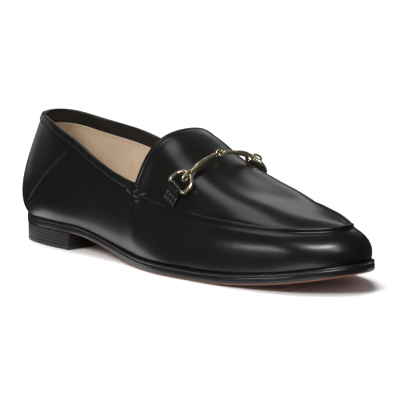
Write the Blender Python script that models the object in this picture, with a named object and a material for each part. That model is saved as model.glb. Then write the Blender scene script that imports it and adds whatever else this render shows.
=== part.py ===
"""Bit loafer, the wearer's right shoe.

Metres, +Z up, toe towards +X, outer (lateral) side towards -Y, sole on Z = 0.
The origin is under the middle of the shoe's box.
"""
import math

import bmesh
import bpy
import numpy as np
from mathutils import Vector
from mathutils.bvhtree import BVHTree

# Driving dimensions
SOLE_LENGTH = 0.262
BALL_WIDTH = 0.082
SOLE_THICK = 0.0063
WAIST_THIN = 0.80
HEEL_LENGTH = 0.057
HEEL_HEIGHT = 0.0107
LIFT_THICK = 0.0030
TOE_SPRING = 0.0105
LEDGE = 0.0020
LEDGE_AT_HEEL = 0.45
HEEL_BACK_RADIUS = 0.027
TOE_RADIUS = 0.019
COLLAR_HEIGHT = 0.0628
APRON_HEIGHT = 0.0300
INSTEP_HEIGHT = 0.0715
COLLAR_SET_FORWARD = 0.0115
APRON_SET_BACK = 0.014
COLLAR_BACK_RADIUS = 0.020
APRON_TIP_RADIUS = 0.016
COLLAR_WIDTH = 0.068
WALL = 0.0019
INSOLE_THICK = 0.0020
INSOLE_PLAY = 0.0006
HEEL_EDGE = 0.0004
SEAM_RIDGE = 0.0016
COLLAR_BAND = 0.0042
COLLAR_BAND_STEP = 0.0004
JUNCTION_BLEND = 0.08
HEEL_INSET = 0.0004
BIT_SHARE = 0.2685
RING_FROM_SEAM = 0.0122
RING_WIRE = 0.0020
RING_WIDTH = 0.0165
RING_DEPTH = 0.0122
RING_TILT = 10.0
RING_TURN = 22.0
RING_LIFT = 0.0004
RING_CORNER = 0.0022
TAB_WIDTH = 0.0098
TAB_THICK = 0.0011
TAB_TAIL = 0.0076
HOLE_PLAY = 0.0001
BAR_THICK = 0.0032
BAR_BOW = 0.0017
BIT_BACK = 0.0044
EYE_WIRE = 0.0016
EYE_WIDTH = 0.0062
EYE_OVERLAP = 0.0010
LINK_WIRE = 0.0014
LINK_INSIDE = 0.0034
GAP = 0.0003

# Sole outline. share: of SOLE_LENGTH; half and centre: of half BALL_WIDTH; centre is towards the
# inner side where it is positive
SOLE_TABLE = (
    # share, half, centre
    (0.05, 0.530, -0.005),
    (0.15, 0.685, 0.005),
    (0.30, 0.690, -0.035),
    (0.45, 0.758, -0.125),
    (0.55, 0.875, -0.150),
    (0.65, 0.962, -0.055),
    (0.75, 0.990, 0.020),
    (0.85, 0.878, 0.062),
    (0.93, 0.660, 0.098),
)
TOE_CENTRE = 0.120
WAIST_FROM = 0.30
FLAT_FROM, FLAT_TO = 0.50, 0.64
LEDGE_FROM, LEDGE_FULL = 0.25, 0.55

# Top line: the collar's edge from the back to the junction, then the apron seam to its tip.
# share: from the collar's back to the apron's tip; half, centre: of half COLLAR_WIDTH;
# outer, inner: heights over the sole's top on the two sides, as shares of COLLAR_HEIGHT up to the
# junction and of APRON_HEIGHT after it
TOP_TABLE = (
    # share, half, centre, outer, inner
    (0.000, 0.000, 0.000, 1.000, 1.000),
    (0.050, 0.500, -0.006, 0.980, 0.958),
    (0.121, 0.670, -0.022, 0.922, 0.900),
    (0.196, 0.730, -0.022, 0.825, 0.860),
    (0.280, 0.788, -0.022, 0.722, 0.820),
    (0.375, 0.859, -0.022, 0.668, 0.774),
    (0.450, 0.929, -0.018, 0.658, 0.718),
    (0.480, 0.954, -0.014, 0.800, 0.925),
    (0.510, 0.974, -0.011, 1.120, 1.305),
    (0.571, 1.006, -0.006, 1.050, 1.205),
    (0.675, 1.035, 0.022, 0.990, 1.130),
    (0.779, 0.990, 0.040, 0.915, 1.020),
    (0.862, 0.862, 0.045, 0.830, 0.870),
    (0.933, 0.625, 0.060, 0.750, 0.720),
    (0.979, 0.335, 0.085, 0.695, 0.680),
    (1.000, 0.000, 0.100, 0.680, 0.680),
)
JUNCTION = 0.4537
COLLAR_END, APRON_START = 0.448, 0.510

# Ribs of the wall. share: of the way from heel to toe; foot, top: outward and inward lean from
# the upright in degrees; foot_reach, top_reach: handle lengths as shares of the rib
RIB_TABLE = (
    # share, foot, top, foot_reach, top_reach
    (0.00, 42.0, 20.0, 0.26, 0.40),
    (0.10, 36.0, 14.0, 0.24, 0.40),
    (0.25, 24.0, 10.0, 0.26, 0.38),
    (0.45, 20.0, 22.0, 0.30, 0.34),
    (0.60, 16.0, 38.0, 0.34, 0.34),
    (0.80, 14.0, 56.0, 0.38, 0.38),
    (1.00, 16.0, 66.0, 0.43, 0.42),
)

# Crown of the apron. share: from the throat to the spine's end; height: over the sole's top as a
# share of INSTEP_HEIGHT; rise: how steeply the ribs leave the seam, in degrees; centre: how far
# the crown leans to the inner side, as a share of half COLLAR_WIDTH
CROWN_TABLE = (
    # share, height, rise, centre
    (0.00, 1.020, 81.0, 0.10),
    (0.13, 0.938, 79.0, 0.12),
    (0.25, 0.820, 76.0, 0.11),
    (0.39, 0.700, 68.0, 0.08),
    (0.53, 0.612, 55.0, 0.06),
    (0.67, 0.545, 42.0, 0.07),
    (0.81, 0.480, 30.0, 0.09),
    (1.00, 0.390, 18.0, 0.10),
)
SEAM_REACH, CROWN_REACH = 0.50, 0.48
SPINE_FORWARD = 0.0048
SPINE_STOP = 0.020

# Forward lean of the throat's edge at the crown and half-way up, and how much of the apron's
# length shares it
THROAT_FORWARD = 0.0036
THROAT_LEAN = 0.0058
LEAN_REACH = 0.30

REAR_STEPS, FORE_STEPS = 20, 22
SOLE_STEPS, HEEL_STEPS = 40, 16
WALL_ROWS, APRON_ROWS = 8, 7
RIB_SAMPLES = 200
TINY = 1e-3
EDGE_SHARE = 0.4
SHARP_ANGLE = 40.0
METAL_SHARP_ANGLE = 60.0
BIT_STEP = 0.02
ARCH_WIDE, ARCH_DEEP, FOOT_SQUARE = 0.80, 0.75, 0.45
RING_STEPS, EYE_STEPS, LINK_STEPS, BAR_STEPS = 36, 18, 7, 14
BAR_SIDES = 8
TAB_SECTIONS = 5
GROUND_SAMPLES = 13

# Rows of the wall next to the top line. from_edge: distance from it; seam: lift as a share of
# SEAM_RIDGE beside the apron; band: lift as a share of COLLAR_BAND_STEP round the collar
EDGE_TABLE = (
    # from_edge, seam, band
    (0.0062, 0.00, 0.00),
    (COLLAR_BAND + 0.0002, -0.04, 0.00),
    (COLLAR_BAND, -0.05, 1.00),
    (0.0024, 0.00, 1.00),
    (0.0012, 0.95, 1.00),
    (0.0000, 0.90, 1.00),
)

# Rows of the apron next to the seam. from_edge: distance from it; lift: as a share of SEAM_RIDGE
APRON_TABLE = (
    # from_edge, lift
    (0.0007, 0.35),
    (0.0015, 0.05),
    (0.0034, 0.00),
)


def spline(xs, ys):
    """Natural cubic through the points, as a function."""
    xs = np.asarray(xs, float)
    ys = np.asarray(ys, float)
    count = len(xs)
    gaps = np.diff(xs)
    matrix = np.eye(count)
    right = np.zeros(count)
    for i in range(1, count - 1):
        matrix[i, i - 1:i + 2] = gaps[i - 1], 2 * (gaps[i - 1] + gaps[i]), gaps[i]
        right[i] = 6 * ((ys[i + 1] - ys[i]) / gaps[i] - (ys[i] - ys[i - 1]) / gaps[i - 1])
    bends = np.linalg.solve(matrix, right)

    def value(x):
        x = np.asarray(x, float)
        i = np.clip(np.searchsorted(xs, x) - 1, 0, count - 2)
        before = x - xs[i]
        after = xs[i + 1] - x
        gap = gaps[i]
        curve = (bends[i] * after**3 + bends[i + 1] * before**3) / (6 * gap)
        curve = curve + (ys[i] / gap - bends[i] * gap / 6) * after
        return curve + (ys[i + 1] / gap - bends[i + 1] * gap / 6) * before

    return value


def hermite(xs, ys):
    """Smooth curve through the points that never overshoots them."""
    xs = np.asarray(xs, float)
    ys = np.asarray(ys, float)
    steps = np.diff(ys) / np.diff(xs)
    slopes = np.zeros(len(xs))
    for i in range(1, len(xs) - 1):
        if steps[i - 1] * steps[i] > 0:
            slopes[i] = 2 * steps[i - 1] * steps[i] / (steps[i - 1] + steps[i])
    slopes[0] = steps[0]
    slopes[-1] = steps[-1]

    def value(x):
        x = np.asarray(x, float)
        i = np.clip(np.searchsorted(xs, x) - 1, 0, len(xs) - 2)
        gap = xs[i + 1] - xs[i]
        t = (x - xs[i]) / gap
        start = (1 + 2 * t) * (1 - t)**2 * ys[i] + t * (1 - t)**2 * gap * slopes[i]
        return start + t**2 * (3 - 2 * t) * ys[i + 1] + t**2 * (t - 1) * gap * slopes[i + 1]

    return value


def smooth(t):
    t = np.clip(t, 0.0, 1.0)
    return t * t * (3 - 2 * t)


def column(table, index):
    return [row[index] for row in table]


def share_of(theta):
    """Share of the way from the back to the front, for the angle round the outline."""
    return (1 - math.cos(theta)) / 2


def angle_of(share):
    return math.acos(1 - 2 * share)


def round_ended(table, unit, length, back_radius, front_radius):
    """Half width over the sine of the angle, which rounds both ends of an outline."""
    shares = [0.0]
    values = [math.sqrt(back_radius * length / 2)]
    for row in table:
        if 0 < row[0] < 1:
            shares.append(row[0])
            values.append(row[1] * unit / (2 * math.sqrt(row[0] * (1 - row[0]))))
    shares.append(1.0)
    values.append(math.sqrt(front_radius * length / 2))
    return spline(shares, values)


SOLE_HALF = round_ended(SOLE_TABLE, BALL_WIDTH / 2, SOLE_LENGTH, HEEL_BACK_RADIUS, TOE_RADIUS)
SOLE_CENTRE = spline([0.0] + column(SOLE_TABLE, 0) + [1.0], [0.0] + column(SOLE_TABLE, 2) + [TOE_CENTRE])
TOP_LENGTH = SOLE_LENGTH - COLLAR_SET_FORWARD - APRON_SET_BACK
TOP_HALF = round_ended(TOP_TABLE, COLLAR_WIDTH / 2, TOP_LENGTH, COLLAR_BACK_RADIUS, APRON_TIP_RADIUS)
TOP_CENTRE = spline(column(TOP_TABLE, 0), column(TOP_TABLE, 2))
TOP_OUTER = hermite(column(TOP_TABLE, 0), column(TOP_TABLE, 3))
TOP_INNER = hermite(column(TOP_TABLE, 0), column(TOP_TABLE, 4))


def sole_under(x):
    """Height of the sole's underside: heel seat, arch, flat ball and toe spring."""
    share = x / SOLE_LENGTH
    seat = HEEL_LENGTH / SOLE_LENGTH
    arch = HEEL_HEIGHT * smooth((FLAT_FROM - share) / (FLAT_FROM - seat))
    toe = max(0.0, (share - FLAT_TO) / (1 - FLAT_TO))
    return float(arch + TOE_SPRING * toe**2)


def sole_thickness(x):
    """The sole thins from the ball to the waist and heel."""
    full = float(smooth((x / SOLE_LENGTH - WAIST_FROM) / (FLAT_FROM - WAIST_FROM)))
    return SOLE_THICK * (WAIST_THIN + (1 - WAIST_THIN) * full)


def sole_top(x):
    return sole_under(x) + sole_thickness(x)


def sole_plan(theta, side):
    """Point of the sole's outline in plan, side -1 outer and +1 inner."""
    share = share_of(theta)
    half = float(SOLE_HALF(share)) * math.sin(theta)
    centre = float(SOLE_CENTRE(share)) * BALL_WIDTH / 2
    return np.array([share * SOLE_LENGTH, centre + side * half])


def sole_edge(theta, side, inset):
    """Point of the sole's outline moved inwards by inset."""
    return sole_plan(theta, side) - inset * plan_normal(lambda a: sole_plan(a, side), theta, side)


def plan_normal(curve, theta, side):
    """Outward normal in plan of a curve that runs from the back to the front."""
    if theta < TINY:
        return np.array([-1.0, 0.0])
    if theta > math.pi - TINY:
        return np.array([1.0, 0.0])
    along = curve(theta + TINY) - curve(theta - TINY)
    along = along / np.linalg.norm(along)
    return np.array([-along[1] * side, along[0] * side])


def feather_inset(theta):
    """How far the upper's foot lies inside the sole's edge."""
    full = float(smooth((share_of(theta) - LEDGE_FROM) / (LEDGE_FULL - LEDGE_FROM)))
    return LEDGE * (LEDGE_AT_HEEL + (1 - LEDGE_AT_HEEL) * full)


def top_plan(theta, side):
    share = share_of(theta)
    half = float(TOP_HALF(share)) * math.sin(theta)
    centre = float(TOP_CENTRE(share)) * COLLAR_WIDTH / 2
    return np.array([COLLAR_SET_FORWARD + share * TOP_LENGTH, centre + side * half])


def top_point(theta, side):
    """Point of the collar's edge or of the apron seam."""
    x, y = top_plan(theta, side)
    share = share_of(theta)
    apron = float(smooth((share - COLLAR_END) / (APRON_START - COLLAR_END)))
    unit = COLLAR_HEIGHT + (APRON_HEIGHT - COLLAR_HEIGHT) * apron
    height = float(TOP_OUTER(share) if side < 0 else TOP_INNER(share)) * unit
    return np.array([x, y, sole_top(x) + height])


def bezier(points, t):
    a, b, c, d = points
    return a * (1 - t)**3 + 3 * b * t * (1 - t)**2 + 3 * c * t * t * (1 - t) + d * t**3


RIB_FOOT = spline(column(RIB_TABLE, 0), column(RIB_TABLE, 1))
RIB_TOP = spline(column(RIB_TABLE, 0), column(RIB_TABLE, 2))
RIB_FOOT_REACH = spline(column(RIB_TABLE, 0), column(RIB_TABLE, 3))
RIB_TOP_REACH = spline(column(RIB_TABLE, 0), column(RIB_TABLE, 4))


def wall_rib(theta, side):
    """Control points of the wall's rib from the feather line to the top line."""
    share = share_of(theta)
    foot_plan = sole_edge(theta, side, feather_inset(theta))
    foot = np.array([*foot_plan, sole_top(foot_plan[0]) + GAP])
    top = top_point(theta, side)
    reach = np.linalg.norm(top - foot)
    out_foot = plan_normal(lambda a: sole_plan(a, side), theta, side)
    out_top = plan_normal(lambda a: top_plan(a, side), theta, side)
    foot_lean = math.radians(float(RIB_FOOT(share)))
    top_lean = math.radians(float(RIB_TOP(share)))
    foot_way = np.array([*(out_foot * math.sin(foot_lean)), math.cos(foot_lean)])
    top_way = np.array([*(-out_top * math.sin(top_lean)), math.cos(top_lean)])
    foot_handle = foot + foot_way * reach * float(RIB_FOOT_REACH(share))
    top_handle = top - top_way * reach * float(RIB_TOP_REACH(share))
    return foot, foot_handle, top_handle, top


THROAT = angle_of(JUNCTION)
CROWN_HEIGHT = spline(column(CROWN_TABLE, 0), column(CROWN_TABLE, 1))
CROWN_RISE = spline(column(CROWN_TABLE, 0), column(CROWN_TABLE, 2))
CROWN_CENTRE = spline(column(CROWN_TABLE, 0), column(CROWN_TABLE, 3))


def spine_range():
    back = top_plan(THROAT, 1)[0] + SPINE_FORWARD
    front = COLLAR_SET_FORWARD + TOP_LENGTH - SPINE_STOP
    return back, front


def crown_height(x):
    back, front = spine_range()
    share = (x - back) / (front - back)
    return sole_top(x) + float(CROWN_HEIGHT(share)) * INSTEP_HEIGHT


def throat_fade(share):
    """One at the throat's edge, nothing from LEAN_REACH of the apron on."""
    return 1 - float(smooth(share / LEAN_REACH))


def spine_point(theta):
    """Point on the apron's middle line that belongs to the ribs at this angle."""
    back, front = spine_range()
    share = (share_of(theta) - JUNCTION) / (1 - JUNCTION)
    x = back + (front - back) * share + THROAT_FORWARD * throat_fade(share)
    y = float(CROWN_CENTRE(share)) * COLLAR_WIDTH / 2
    return np.array([x, y, crown_height(x)]), share


def apron_rib(theta, side):
    """Control points of the apron's rib from the seam to the middle line.

    The rib of the throat's edge lands square across the middle line.
    """
    seam = top_point(theta, side)
    middle, share = spine_point(theta)
    rise = math.radians(float(CROWN_RISE(share)))
    across = middle[:2] - seam[:2]
    reach = np.linalg.norm(middle - seam)
    across = across / np.linalg.norm(across)
    slope = (crown_height(middle[0] + TINY) - crown_height(middle[0] - TINY)) / (2 * TINY)
    seam_handle = seam + np.array([*(across * math.cos(rise)), math.sin(rise)]) * reach * SEAM_REACH
    fade = throat_fade(share)
    seam_handle[0] += THROAT_LEAN * fade
    ahead = across[0] * (1 - fade)
    landing = np.array([ahead, across[1], slope * ahead])
    return seam, seam_handle, middle - landing * reach * CROWN_REACH, middle


def rib_lengths(rib):
    """Parameters along a rib with the length reached at each."""
    marks = np.linspace(0, 1, RIB_SAMPLES)
    points = np.array([bezier(rib, t) for t in marks])
    steps = np.linalg.norm(np.diff(points, axis=0), axis=1)
    return marks, np.concatenate([[0], np.cumsum(steps)])


def rows_by_length(rib, from_end, rows):
    """Parameters on a rib: even rows first, then fixed distances from its end."""
    marks, lengths = rib_lengths(rib)
    total = lengths[-1]
    squeeze = min(1.0, total * EDGE_SHARE / from_end[0])
    first = total - from_end[0] * squeeze
    wanted = [first * i / rows for i in range(rows)]
    wanted += [total - distance * squeeze for distance in from_end]
    return np.interp(wanted, lengths, marks)


def material(name, color, roughness, metallic=0.0):
    found = bpy.data.materials.get(name)
    if found:
        return found
    made = bpy.data.materials.new(name)
    made.use_nodes = True
    shader = made.node_tree.nodes["Principled BSDF"]
    shader.inputs["Base Color"].default_value = (*color, 1.0)
    shader.inputs["Roughness"].default_value = roughness
    shader.inputs["Metallic"].default_value = metallic
    made.diffuse_color = (*color, 1.0)
    return made


def black_calf():
    return material("black_calf", (0.012, 0.012, 0.013), 0.32)


def pale_gold():
    return material("pale_gold", (0.80, 0.62, 0.36), 0.22, 1.0)


def add_object(name, vertices, faces, finish, sharp=SHARP_ANGLE):
    mesh = bpy.data.meshes.new(name)
    mesh.from_pydata([tuple(map(float, v)) for v in vertices], [], faces)
    work = bmesh.new()
    work.from_mesh(mesh)
    bmesh.ops.remove_doubles(work, verts=work.verts, dist=1e-6)
    bmesh.ops.recalc_face_normals(work, faces=work.faces)
    work.to_mesh(mesh)
    work.free()
    mesh.shade_smooth()
    mesh.set_sharp_from_angle(angle=math.radians(sharp))
    mesh.materials.append(finish)
    made = bpy.data.objects.new(name, mesh)
    bpy.context.collection.objects.link(made)
    made.parent = bpy.data.objects["loafer"]
    return made


def upper_angles():
    rear = [THROAT * i / REAR_STEPS for i in range(REAR_STEPS)]
    fore = [THROAT + (math.pi - THROAT) * i / FORE_STEPS for i in range(FORE_STEPS + 1)]
    return rear + fore


class Surface:
    """Open surface with a lift for each point, closed later into a wall."""

    def __init__(self):
        self.points = []
        self.lifts = []
        self.faces = []
        self.index = {}

    def add(self, key, point, lift=0.0):
        if key not in self.index:
            self.index[key] = len(self.points)
            self.points.append(np.asarray(point, float))
            self.lifts.append(lift)
        return self.index[key]

    def quad(self, keys):
        corners = []
        for key in keys:
            number = self.index[key]
            if number not in corners:
                corners.append(number)
        if len(corners) > 2:
            self.faces.append(corners)

    def normals(self):
        points = np.array(self.points)
        total = np.zeros_like(points)
        for face in self.faces:
            corners = points[face]
            normal = np.zeros(3)
            for i in range(len(face)):
                normal += np.cross(corners[i], corners[(i + 1) % len(face)])
            for number in face:
                total[number] += normal
        return total / np.linalg.norm(total, axis=1)[:, None]


def side_key(side, column_number, last):
    """Both sides share the points on the middle plane."""
    return 0 if column_number in (0, last) else side


def upper_surface():
    surface = Surface()
    angles = upper_angles()
    last = len(angles) - 1
    rows = WALL_ROWS + len(EDGE_TABLE)
    for side in (-1, 1):
        for i, theta in enumerate(angles):
            rib = wall_rib(theta, side)
            marks = rows_by_length(rib, column(EDGE_TABLE, 0), WALL_ROWS)
            apron = float(smooth((share_of(theta) - COLLAR_END) / JUNCTION_BLEND))
            for j, mark in enumerate(marks):
                point = bezier(rib, mark)
                lift = 0.0
                if j >= WALL_ROWS:
                    _, seam, band = EDGE_TABLE[j - WALL_ROWS]
                    lift = SEAM_RIDGE * seam * apron + COLLAR_BAND_STEP * band * (1 - apron)
                surface.add((side_key(side, i, last), "wall", i, j), point, lift)
        for i in range(last):
            for j in range(rows - 1):
                here = side_key(side, i, last)
                ahead = side_key(side, i + 1, last)
                keys = [(here, "wall", i, j), (ahead, "wall", i + 1, j),
                        (ahead, "wall", i + 1, j + 1), (here, "wall", i, j + 1)]
                surface.quad(keys if side < 0 else keys[::-1])
    add_apron(surface, angles, last, rows)
    return surface


def add_apron(surface, angles, last, wall_rows):
    first = REAR_STEPS
    count = APRON_ROWS + len(APRON_TABLE)
    from_edge = column(APRON_TABLE, 0)[::-1] + [0.0]

    def key(side, i, j):
        if j == 0:
            return (side_key(side, i, last), "wall", i, wall_rows - 1)
        if j == count:
            return (0, "spine", i)
        return (side_key(side, i, last), "apron", i, j)

    for side in (-1, 1):
        for i in range(first, last + 1):
            rib = apron_rib(angles[i], side)
            marks = 1 - rows_by_length(rib[::-1], from_edge, APRON_ROWS)[::-1]
            for j, mark in enumerate(marks):
                lift = SEAM_RIDGE * APRON_TABLE[j - 1][1] if 0 < j <= len(APRON_TABLE) else 0.0
                surface.add(key(side, i, j), bezier(rib, mark), lift)
        for i in range(first, last):
            for j in range(count):
                keys = [key(side, i, j), key(side, i + 1, j),
                        key(side, i + 1, j + 1), key(side, i, j + 1)]
                surface.quad(keys if side < 0 else keys[::-1])


def closed_wall(surface, thickness):
    """Outer skin, inner skin and the rims that join them."""
    points = np.array(surface.points)
    normals = surface.normals()
    outer = points + normals * np.array(surface.lifts)[:, None]
    inner = points - normals * thickness
    for key, number in surface.index.items():
        if key[1] == "wall" and key[3] == 0:
            flat = normals[number] * np.array([1, 1, 0])
            inner[number] = points[number] - flat / np.linalg.norm(flat) * thickness
            inner[number][2] = sole_top(inner[number][0]) + GAP
    count = len(points)
    faces = [list(face) for face in surface.faces]
    faces += [[number + count for number in face[::-1]] for face in surface.faces]
    edges = {(a, b): None for face in surface.faces for a, b in zip(face, face[1:] + face[:1])}
    for a, b in edges:
        if (b, a) not in edges:
            faces.append([b, a, a + count, b + count])
    return np.concatenate([outer, inner]), faces


def build_upper():
    surface = upper_surface()
    points, faces = closed_wall(surface, WALL)
    add_object("upper", points, faces, black_calf())
    return points, faces


def slab(name, insets, heights, finish):
    """Closed body through outlines, each with an inset by angle and a height by x."""
    angles = [math.pi * i / SOLE_STEPS for i in range(SOLE_STEPS + 1)]
    vertices = []
    for inset, height in zip(insets, heights):
        for side in (-1, 1):
            for theta in angles:
                x, y = sole_edge(theta, side, inset(theta))
                vertices.append((x, y, height(x)))

    def at(ring, side, i):
        return (2 * ring + (side > 0)) * len(angles) + i

    faces = []
    for i in range(SOLE_STEPS):
        for ring in range(len(insets) - 1):
            for side in (-1, 1):
                faces.append([at(ring, side, i), at(ring, side, i + 1),
                              at(ring + 1, side, i + 1), at(ring + 1, side, i)])
        for ring in (0, len(insets) - 1):
            faces.append([at(ring, -1, i), at(ring, -1, i + 1), at(ring, 1, i + 1), at(ring, 1, i)])
    return add_object(name, vertices, faces, finish)


# Side of the sole from its underside up. height: share of the thickness; inset: in from the edge
SOLE_SIDE = (
    # height, inset
    (0.00, 0.0009),
    (0.14, 0.0001),
    (0.72, 0.0000),
    (0.78, 0.0004),
    (0.84, 0.0000),
    (0.96, 0.0001),
    (1.00, 0.0005),
)


def build_sole():
    insets = [lambda theta, inset=inset: inset for _, inset in SOLE_SIDE]
    heights = [lambda x, share=share: sole_under(x) + share * sole_thickness(x)
               for share, _ in SOLE_SIDE]
    slab("outsole", insets, heights, material("sole_leather", (0.30, 0.10, 0.05), 0.5))


def insole_inset(theta):
    return feather_inset(theta) + WALL + INSOLE_PLAY


def build_insole():
    heights = [lambda x, rise=rise: sole_top(x) + GAP + rise for rise in (0.0, INSOLE_THICK)]
    finish = material("tan_lining", (0.58, 0.40, 0.25), 0.6)
    slab("insole", [insole_inset, insole_inset], heights, finish)


def heel_outline(inset):
    """Outline of the heel in plan: the sole's back and a straight breast."""
    stop = angle_of(HEEL_LENGTH / SOLE_LENGTH)
    angles = [stop * i / HEEL_STEPS for i in range(HEEL_STEPS + 1)]
    outer = [sole_edge(theta, -1, inset) for theta in angles]
    inner = [sole_edge(theta, 1, inset) for theta in angles]
    points = outer[::-1] + inner[1:]
    return [(min(x, HEEL_LENGTH - inset), y) for x, y in points]


def prism(name, levels, finish):
    """Closed body through outlines at rising heights, each (points, height)."""
    vertices = [(x, y, height) for points, height in levels for x, y in points]
    size = len(levels[0][0])
    faces = [list(range(size))[::-1], [len(vertices) - size + i for i in range(size)]]
    for level in range(len(levels) - 1):
        for i in range(size):
            ahead = (i + 1) % size
            low = level * size
            faces.append([low + i, low + ahead, low + size + ahead, low + size + i])
    return add_object(name, vertices, faces, finish)


def build_heel():
    rubber = material("heel_rubber", (0.015, 0.015, 0.016), 0.6)
    stack = material("heel_stack", (0.02, 0.019, 0.018), 0.45)
    outline = heel_outline(HEEL_INSET)
    worn = heel_outline(HEEL_INSET + HEEL_EDGE)
    prism("heel_lift", [(worn, 0.0), (outline, HEEL_EDGE), (outline, LIFT_THICK)], rubber)
    prism("heel_block", [(outline, LIFT_THICK + GAP), (outline, HEEL_HEIGHT - GAP)], stack)


def unit(vector):
    vector = np.asarray(vector, float)
    return vector / np.linalg.norm(vector)


def apron_spot(theta, side, distance):
    """Point of the apron's outside at a distance up its rib, with the way up the rib."""
    rib = apron_rib(theta, side)
    marks, lengths = rib_lengths(rib)
    mark = float(np.interp(distance, lengths, marks))
    return bezier(rib, mark), unit(bezier(rib, mark + BIT_STEP) - bezier(rib, mark - BIT_STEP))


def bit_angle():
    return angle_of(JUNCTION + BIT_SHARE * (1 - JUNCTION))


def turned(vector, axis, angle):
    """Vector turned about a unit axis."""
    along = axis * np.dot(axis, vector)
    return along + (vector - along) * math.cos(angle) + np.cross(axis, vector) * math.sin(angle)


def ring_frame(side):
    """Middle of the ring's straight bar, and the ways forward, up the ring and out of its plane."""
    theta = bit_angle()
    foot, up = apron_spot(theta, side, RING_FROM_SEAM)
    forward = unit(apron_spot(theta + BIT_STEP, side, RING_FROM_SEAM)[0]
                   - apron_spot(theta - BIT_STEP, side, RING_FROM_SEAM)[0])
    out = unit(np.cross(up, forward)) * side
    up = unit(np.cross(forward, out)) * side
    turn = math.radians(RING_TURN) * side
    forward = turned(forward, out, turn)
    up = turned(up, out, turn)
    height = GAP + RING_LIFT + TAB_THICK + tab_hole()
    return foot + out * height, forward, up, out


def tab_hole():
    """Radius of the tab's loop round the ring's straight bar."""
    return RING_WIRE / 2 + GAP + HOLE_PLAY


def tilted(side):
    """The ring's own ways: it leans from its tab towards the leather."""
    middle, forward, up, out = ring_frame(side)
    lean = math.radians(RING_TILT)
    return middle, forward, unit(up * math.cos(lean) - out * math.sin(lean)), unit(
        out * math.cos(lean) + up * math.sin(lean))


def ring_path():
    """Centre line of the ring in its own plane: straight below, a deep arch above."""
    half = (RING_WIDTH - RING_WIRE) / 2
    deep = RING_DEPTH - RING_WIRE
    points = []
    for i in range(RING_STEPS):
        angle = 2 * math.pi * i / RING_STEPS
        across = math.cos(angle)
        high = math.sin(angle)
        if high >= 0:
            wide = half * math.copysign(abs(across)**ARCH_WIDE, across)
            points.append((wide, RING_CORNER + (deep - RING_CORNER) * high**ARCH_DEEP))
        else:
            wide = half * math.copysign(abs(across)**FOOT_SQUARE, across)
            points.append((wide, RING_CORNER * (1 - abs(high)**FOOT_SQUARE)))
    return points


def tube(path, radii, plane, closed=False):
    """Round bar along a path; plane is the way its first corner keeps to."""
    path = [np.asarray(point, float) for point in path]
    count = len(path)
    vertices, faces = [], []
    for i, centre in enumerate(path):
        before = path[(i - 1) % count] if closed or i > 0 else centre
        after = path[(i + 1) % count] if closed or i < count - 1 else centre
        along = unit(after - before)
        flat = unit(plane - along * np.dot(plane, along))
        other = np.cross(along, flat)
        for j in range(BAR_SIDES):
            angle = 2 * math.pi * j / BAR_SIDES
            vertices.append(centre + radii[i] * (flat * math.cos(angle) + other * math.sin(angle)))
    for i in range(count if closed else count - 1):
        here, ahead = i * BAR_SIDES, (i + 1) % count * BAR_SIDES
        for j in range(BAR_SIDES):
            side = (j + 1) % BAR_SIDES
            faces.append([here + j, here + side, ahead + side, ahead + j])
    if not closed:
        faces.append(list(range(BAR_SIDES))[::-1])
        faces.append([(count - 1) * BAR_SIDES + j for j in range(BAR_SIDES)])
    return vertices, faces


def side_name(side):
    return "lateral" if side < 0 else "medial"


def build_ring(side):
    middle, forward, up, out = tilted(side)
    path = [middle + forward * across + up * high for across, high in ring_path()]
    vertices, faces = tube(path, [RING_WIRE / 2] * len(path), out, closed=True)
    add_object("bit_ring_" + side_name(side), vertices, faces, pale_gold(), METAL_SHARP_ANGLE)


def ground_under(tree, middle, forward, up, out):
    """Smooth height of the leather under a tab, by across and high, clear of its facets."""
    def terms(across, high):
        return np.array([1, across, high, across**2, across * high, high**2])

    rows, heights = [], []
    for across in np.linspace(-TAB_WIDTH / 2, TAB_WIDTH / 2, GROUND_SAMPLES):
        for high in np.linspace(-TAB_TAIL, 0, GROUND_SAMPLES):
            start = middle + forward * across + up * high + out * INSTEP_HEIGHT
            hit = tree.ray_cast(Vector(start), Vector(-out))
            rows.append(terms(across / TAB_WIDTH, high / TAB_TAIL))
            heights.append(INSTEP_HEIGHT - hit[3])
    rows, heights = np.array(rows), np.array(heights)
    weights = np.linalg.lstsq(rows, heights, rcond=None)[0]
    clear = (heights - rows @ weights).max() + GAP
    return lambda across, high: clear + float(
        terms(across / TAB_WIDTH, high / TAB_TAIL) @ weights)


# Tail of a tab from its end to the loop. along: share of TAB_TAIL; thick: of TAB_THICK
TAIL_TABLE = (
    # along, thick
    (1.00, 1.10),
    (0.85, 1.25),
    (0.65, 1.45),
    (0.45, 1.75),
)
UNDER_SHARES = (1.0, 0.8, 0.6, 0.4, 0.2)
LOOP_ANGLES = (-75, -50, -25, 0, 25, 50, 75, 100, 125)
HOLE_ANGLES = (200, 215, 230, 245, 262, 285, 310, 335, 0, 25, 50, 75, 100, 125, 145, 160, 172, 186)


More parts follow.
